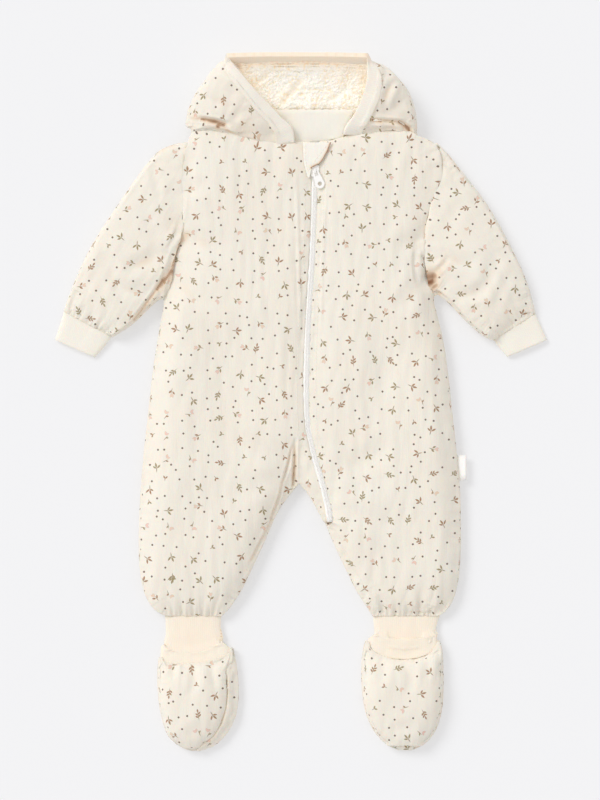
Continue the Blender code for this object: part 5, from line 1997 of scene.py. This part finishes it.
class Booties:
    """Both booties with their ankle cuffs."""

    def __init__(self, wardrobe: Wardrobe) -> None:
        """Size both of them.

        Args:
            wardrobe: The finishes.
        """
        self.pair = (
            Bootie(
                wardrobe,
                side="right",
                # x, y, to x, to y, width, depth, bend
                folds=creases(
                    (-110, -262, -108, -292, 5.0, 1.6, 3.0),
                    (-88, -260, -84, -284, 4.0, 1.3, -2.0),
                    (-130, -258, -128, -276, 4.0, 1.2, 1.0),
                    (-96, -318, -120, -334, 6.0, 1.0, 2.0),
                ),
                band_corners=((-146, -249, -132, -239.5), (-84, -235, -68, -249)),
                ankle_flares=((-134, -243, 8.0, -4.5), (-80, -239, 9.0, 5.5)),
                # x, y, reach, painted shade; the first, broad place makes the whole cuff warmer,
                # the small ones paint shade in its fold
                ankle_shades=hollows(
                    (-107, -236, 60.0, 0.38),
                    (-81.5, -229, 1.4, 0.9),
                    (-82.5, -232, 1.4, 0.9),
                    (-83.5, -235, 1.4, 0.9),
                    (-84.5, -238, 1.4, 0.8),
                ),
                shift=3.0,
            ),
            Bootie(
                wardrobe,
                side="left",
                folds=creases(
                    (84, -254, 82, -282, 5.0, 1.5, -2.0),
                    (104, -259, 108, -290, 5.0, 1.6, 2.0),
                    (124, -252, 126, -276, 4.0, 1.2, 1.0),
                    (88, -330, 116, -322, 6.0, 1.0, 2.0),
                ),
                band_corners=((58, -243, 72, -233.5), (128, -230, 142, -244)),
                ankle_flares=((70, -237, 8.0, -4.0), (132, -236, 8.0, 4.0)),
                # the same: a warmer cuff, and painted shade in its fold
                ankle_shades=hollows(
                    (105, -236, 60.0, 0.38),
                    (131, -222, 1.4, 0.6),
                    (129, -225, 1.4, 0.7),
                    (127, -228, 1.4, 0.6),
                ),
                shift=19.0,
                ankle_width=0.122,
                band_height=0.018,
            ),
        )

    def build(self) -> None:
        """Make the padding of both, and then the rib above them."""
        for bootie in self.pair:
            bootie.build_padding()
        for bootie in self.pair:
            bootie.build_rib()


@dataclass
class Zip(Assembly):
    """The zip's tapes, chain, slider and pull, and the flap above it."""

    tooth_step: float = 1.3
    tooth_length: float = 0.85
    tooth_sides: int = 8
    half_chain: float = 1.9
    soft_edge: float = 0.3
    flap_edge: tuple[Place, ...] = (
        (30, 257), (26.5, 248), (22.3, 240), (18.4, 235), (10.6, 231.4)
    )
    # share of the tooth's length, share of its thickness
    tooth_profile: tuple[Row, ...] = (
        (-0.5, 0.3), (-0.4, 0.62), (-0.1, 0.95), (0.4, 1.0), (0.5, 0.6)
    )

    def build(self) -> None:
        """Make the soft parts, cut the chain's teeth and dress the hard parts."""
        for side in ("right", "left"):
            self.sheet(
                f"zip_tape_{side}",
                Finish.TAPE,
                (0.0102, 0.368),
                f"front_{side}",
                area=0.0015,
                levels=1,
                ease=0,
                lift=2.2,
                seam_warmth=0.0,
            )
        self.sheet(
            "chin_guard",
            Finish.FACING,
            (0.028, 0.036),
            "front_right",
            area=0.0006,
            relief=Relief(swell=0.35, swell_size=14.0, seed=91),
            # painted shadow along the flap's free edge
            hollows=painted_shade_line(2.1, 0.92, *self.flap_edge),
            seam_warmth=0.0,
        )
        self.sheet("side_tab", Finish.TAB, (0.0101, 0.025), "back", levels=2, ease=0)
        self.teeth()
        for node in ("zip_slider", "zip_pull"):
            part = bpy.data.objects[node]
            part.data.materials.clear()
            part.data.materials.append(self.wardrobe[Finish.PLASTIC])
            edge = part.modifiers.new("soft_edges", "BEVEL")
            edge.width = self.soft_edge * MM
            edge.segments = 3
            edge.limit_method = "ANGLE"
            edge.harden_normals = True
            LOG.info("%s: dressed", node)

    def chain_line(self) -> tuple[np.ndarray, np.ndarray, np.ndarray]:
        """Find the rows of the chain's solid.

        Returns:
            Their Y, their middle and their top, in millimetres.
        """
        places = np.array([tuple(v.co) for v in bpy.data.objects["zip_chain"].data.vertices]) / MM
        rows = sorted({round(float(y), 1) for y in places[:, 1]})
        middles, tops = [], []
        for y in rows:
            row = places[np.abs(places[:, 1] - y) < 0.2]
            middles.append((row[:, 0].min() + row[:, 0].max()) / 2)
            tops.append(row[:, 2].max())
        return np.array(rows), np.array(middles), np.array(tops)

    def teeth(self) -> None:
        """Coil teeth in two rows that mesh along the middle."""
        rows, middles, tops = self.chain_line()
        work = bmesh.new()
        steps = np.arange(rows[0] + 1, rows[-1] - 1, self.tooth_step)
        for start in steps:
            for side in (-1, 1):
                y = start + (self.tooth_step / 2 if side > 0 else 0.0)
                middle = np.interp(y, rows, middles)
                top = np.interp(y, rows, tops)
                lean = np.interp(y + 1, rows, middles) - middle
                self.tooth(work, (middle, y, top), side, lean)
        chain = finish_bars("zip_teeth", work, self.wardrobe[Finish.PLASTIC])
        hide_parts("zip_chain")
        LOG.info("zip_teeth: %d in each row", len(steps))

    def tooth(self, work: bmesh.types.BMesh, place: Row, side: int, lean: float) -> None:
        """Add one coil turn: a low bar with rounded ends.

        Args:
            work: The chain's mesh.
            place: The chain's middle and top beside the tooth.
            side: 1 or -1, the row it is in.
            lean: The chain's step sideways for a step of one along Y.
        """
        x, y, top = place
        way = Vector((lean, 1.0, 0)).normalized()
        across = Vector((way.y, -way.x, 0))
        reach = self.half_chain * 1.1
        centre = Vector((x, y, top + 0.7)) + across * side * (self.half_chain - reach / 2)
        rings = []
        for part, size in self.tooth_profile:
            ring = []
            for i in range(self.tooth_sides):
                turn = 2 * math.pi * i / self.tooth_sides
                spot = centre + across * side * reach * part
                spot += way * math.cos(turn) * self.tooth_length * 0.68 * size
                spot += Vector((0, 0, math.sin(turn) * 0.5 * size))
                ring.append(spot * MM)
            rings.append(ring)
        loft(work, rings)


def sew_rows(wardrobe: Wardrobe, body: Body, hood: Hood, zipper: Zip) -> None:
    """Sew the rows of stitches that show.

    Args:
        wardrobe: The materials.
        body: The built fronts.
        hood: The built hood.
        zipper: The built zip and flap.
    """
    seamstress = Seamstress(wardrobe[Finish.THREAD])
    rows, middles, _ = zipper.chain_line()
    low_end = -62  # the rows beside the zip end here
    for side, shift in (("right", -9.0), ("left", 9.5)):
        line = [(float(x) + shift, float(y)) for x, y in zip(middles, rows) if y > low_end]
        seamstress.sew(f"zip_stitches_{side}", line[::-1], body.pieces[f"front_{side}"])
    shell = (hood.pieces["hood_right"], hood.pieces["hood_left"])
    flap = (zipper.pieces["chin_guard"],)
    right = ((-24, 257), (-26, 268), (-34, 279), (-45, 290), (-54, 300), (-65, 314), (-75, 326))
    left = ((60, 264), (62.5, 272), (68, 281), (74, 294), (78, 306), (80, 317), (79, 328))
    edge = (
        (4.5, 254), (4.6, 240), (5.4, 233), (6.6, 227), (9.2, 231), (13, 237), (19, 245), (25, 253)
    )
    for name, line, cloths in (
        ("band_stitches_right", right, shell),
        ("band_stitches_left", left, shell),
        ("flap_stitches", edge, flap),
    ):
        seamstress.sew(name, line, *cloths)


# ------------------------------------------------------------------ studio


@dataclass(frozen=True)
class Studio:
    """A pale table, soft light from the upper left, and a camera straight above."""

    camera_height: float = 2.8
    frame_height: float = 0.8
    middle: Place = (-0.001, 0.001)
    paper: Colour = screen_colour(196, 196, 197)
    glow: float = 0.36
    table_size: float = 12.0
    sky: Colour = (0.985, 0.983, 1.0, 1.0)
    sky_power: float = 0.74
    sun_from: Row = (-1.15, 1.0, 1.3)
    sun_blur: float = 26.0
    sun_power: float = 1.25

    def build(self) -> None:
        """Make the table, the light and the camera."""
        self.table()
        self.sun()
        world = bpy.data.worlds.new("studio")
        bpy.context.scene.world = world
        world.use_nodes = True
        sky = world.node_tree.nodes["Background"]
        sky.inputs[0].default_value = self.sky
        sky.inputs[1].default_value = self.sky_power
        bpy.context.scene.view_settings.view_transform = "Standard"
        self.camera()

    def table(self) -> None:
        """Lay a sheet of pale paper."""
        bpy.ops.mesh.primitive_plane_add(size=self.table_size)
        table = bpy.context.object
        table.name = "table"
        paper = Surface("paper", mapped=False)
        grain = paper.noise(paper.place, 0.4, 2.0)
        shade = tuple(c * 0.985 for c in self.paper[:3]) + (1.0,)
        paper.dress(
            {
                "Base Color": paper.blend(grain, shade, self.paper),
                "Roughness": 0.9,
                "Specular IOR Level": 0.1,
                "Emission Color": (1.0, 1.0, 1.0, 1.0),
                "Emission Strength": self.glow,
            }
        )
        table.data.materials.append(paper.material)

    def sun(self) -> None:
        """Add distant soft light from one side."""
        lamp = bpy.data.lights.new("key", "SUN")
        lamp.angle = math.radians(self.sun_blur)
        lamp.energy = self.sun_power
        made = bpy.data.objects.new("key", lamp)
        made.location = self.sun_from
        made.rotation_euler = (-Vector(self.sun_from)).to_track_quat("-Z", "Y").to_euler()
        bpy.context.scene.collection.objects.link(made)

    def camera(self) -> None:
        """Look straight down, as the photo does."""
        lens = bpy.data.cameras.new("camera")
        lens.sensor_width = 36.0
        lens.lens = lens.sensor_width * self.camera_height / self.frame_height
        lens.clip_end = 20.0
        made = bpy.data.objects.new("camera", lens)
        made.location = (*self.middle, self.camera_height)
        bpy.context.scene.collection.objects.link(made)
        bpy.context.scene.camera = made


def main() -> None:
    """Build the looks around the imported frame."""
    logging.basicConfig(level=logging.INFO, format="%(name)s %(message)s")
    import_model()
    wardrobe = Wardrobe()
    kinds = (Body, Sleeves, Hood, Booties, Zip)
    body, sleeves, hood, booties, zipper = (kind(wardrobe) for kind in kinds)
    for assembly in (body, sleeves, hood, booties, zipper):
        assembly.build()
    sew_rows(wardrobe, body, hood, zipper)
    Studio().build()


if __name__ == "__main__":
    main()
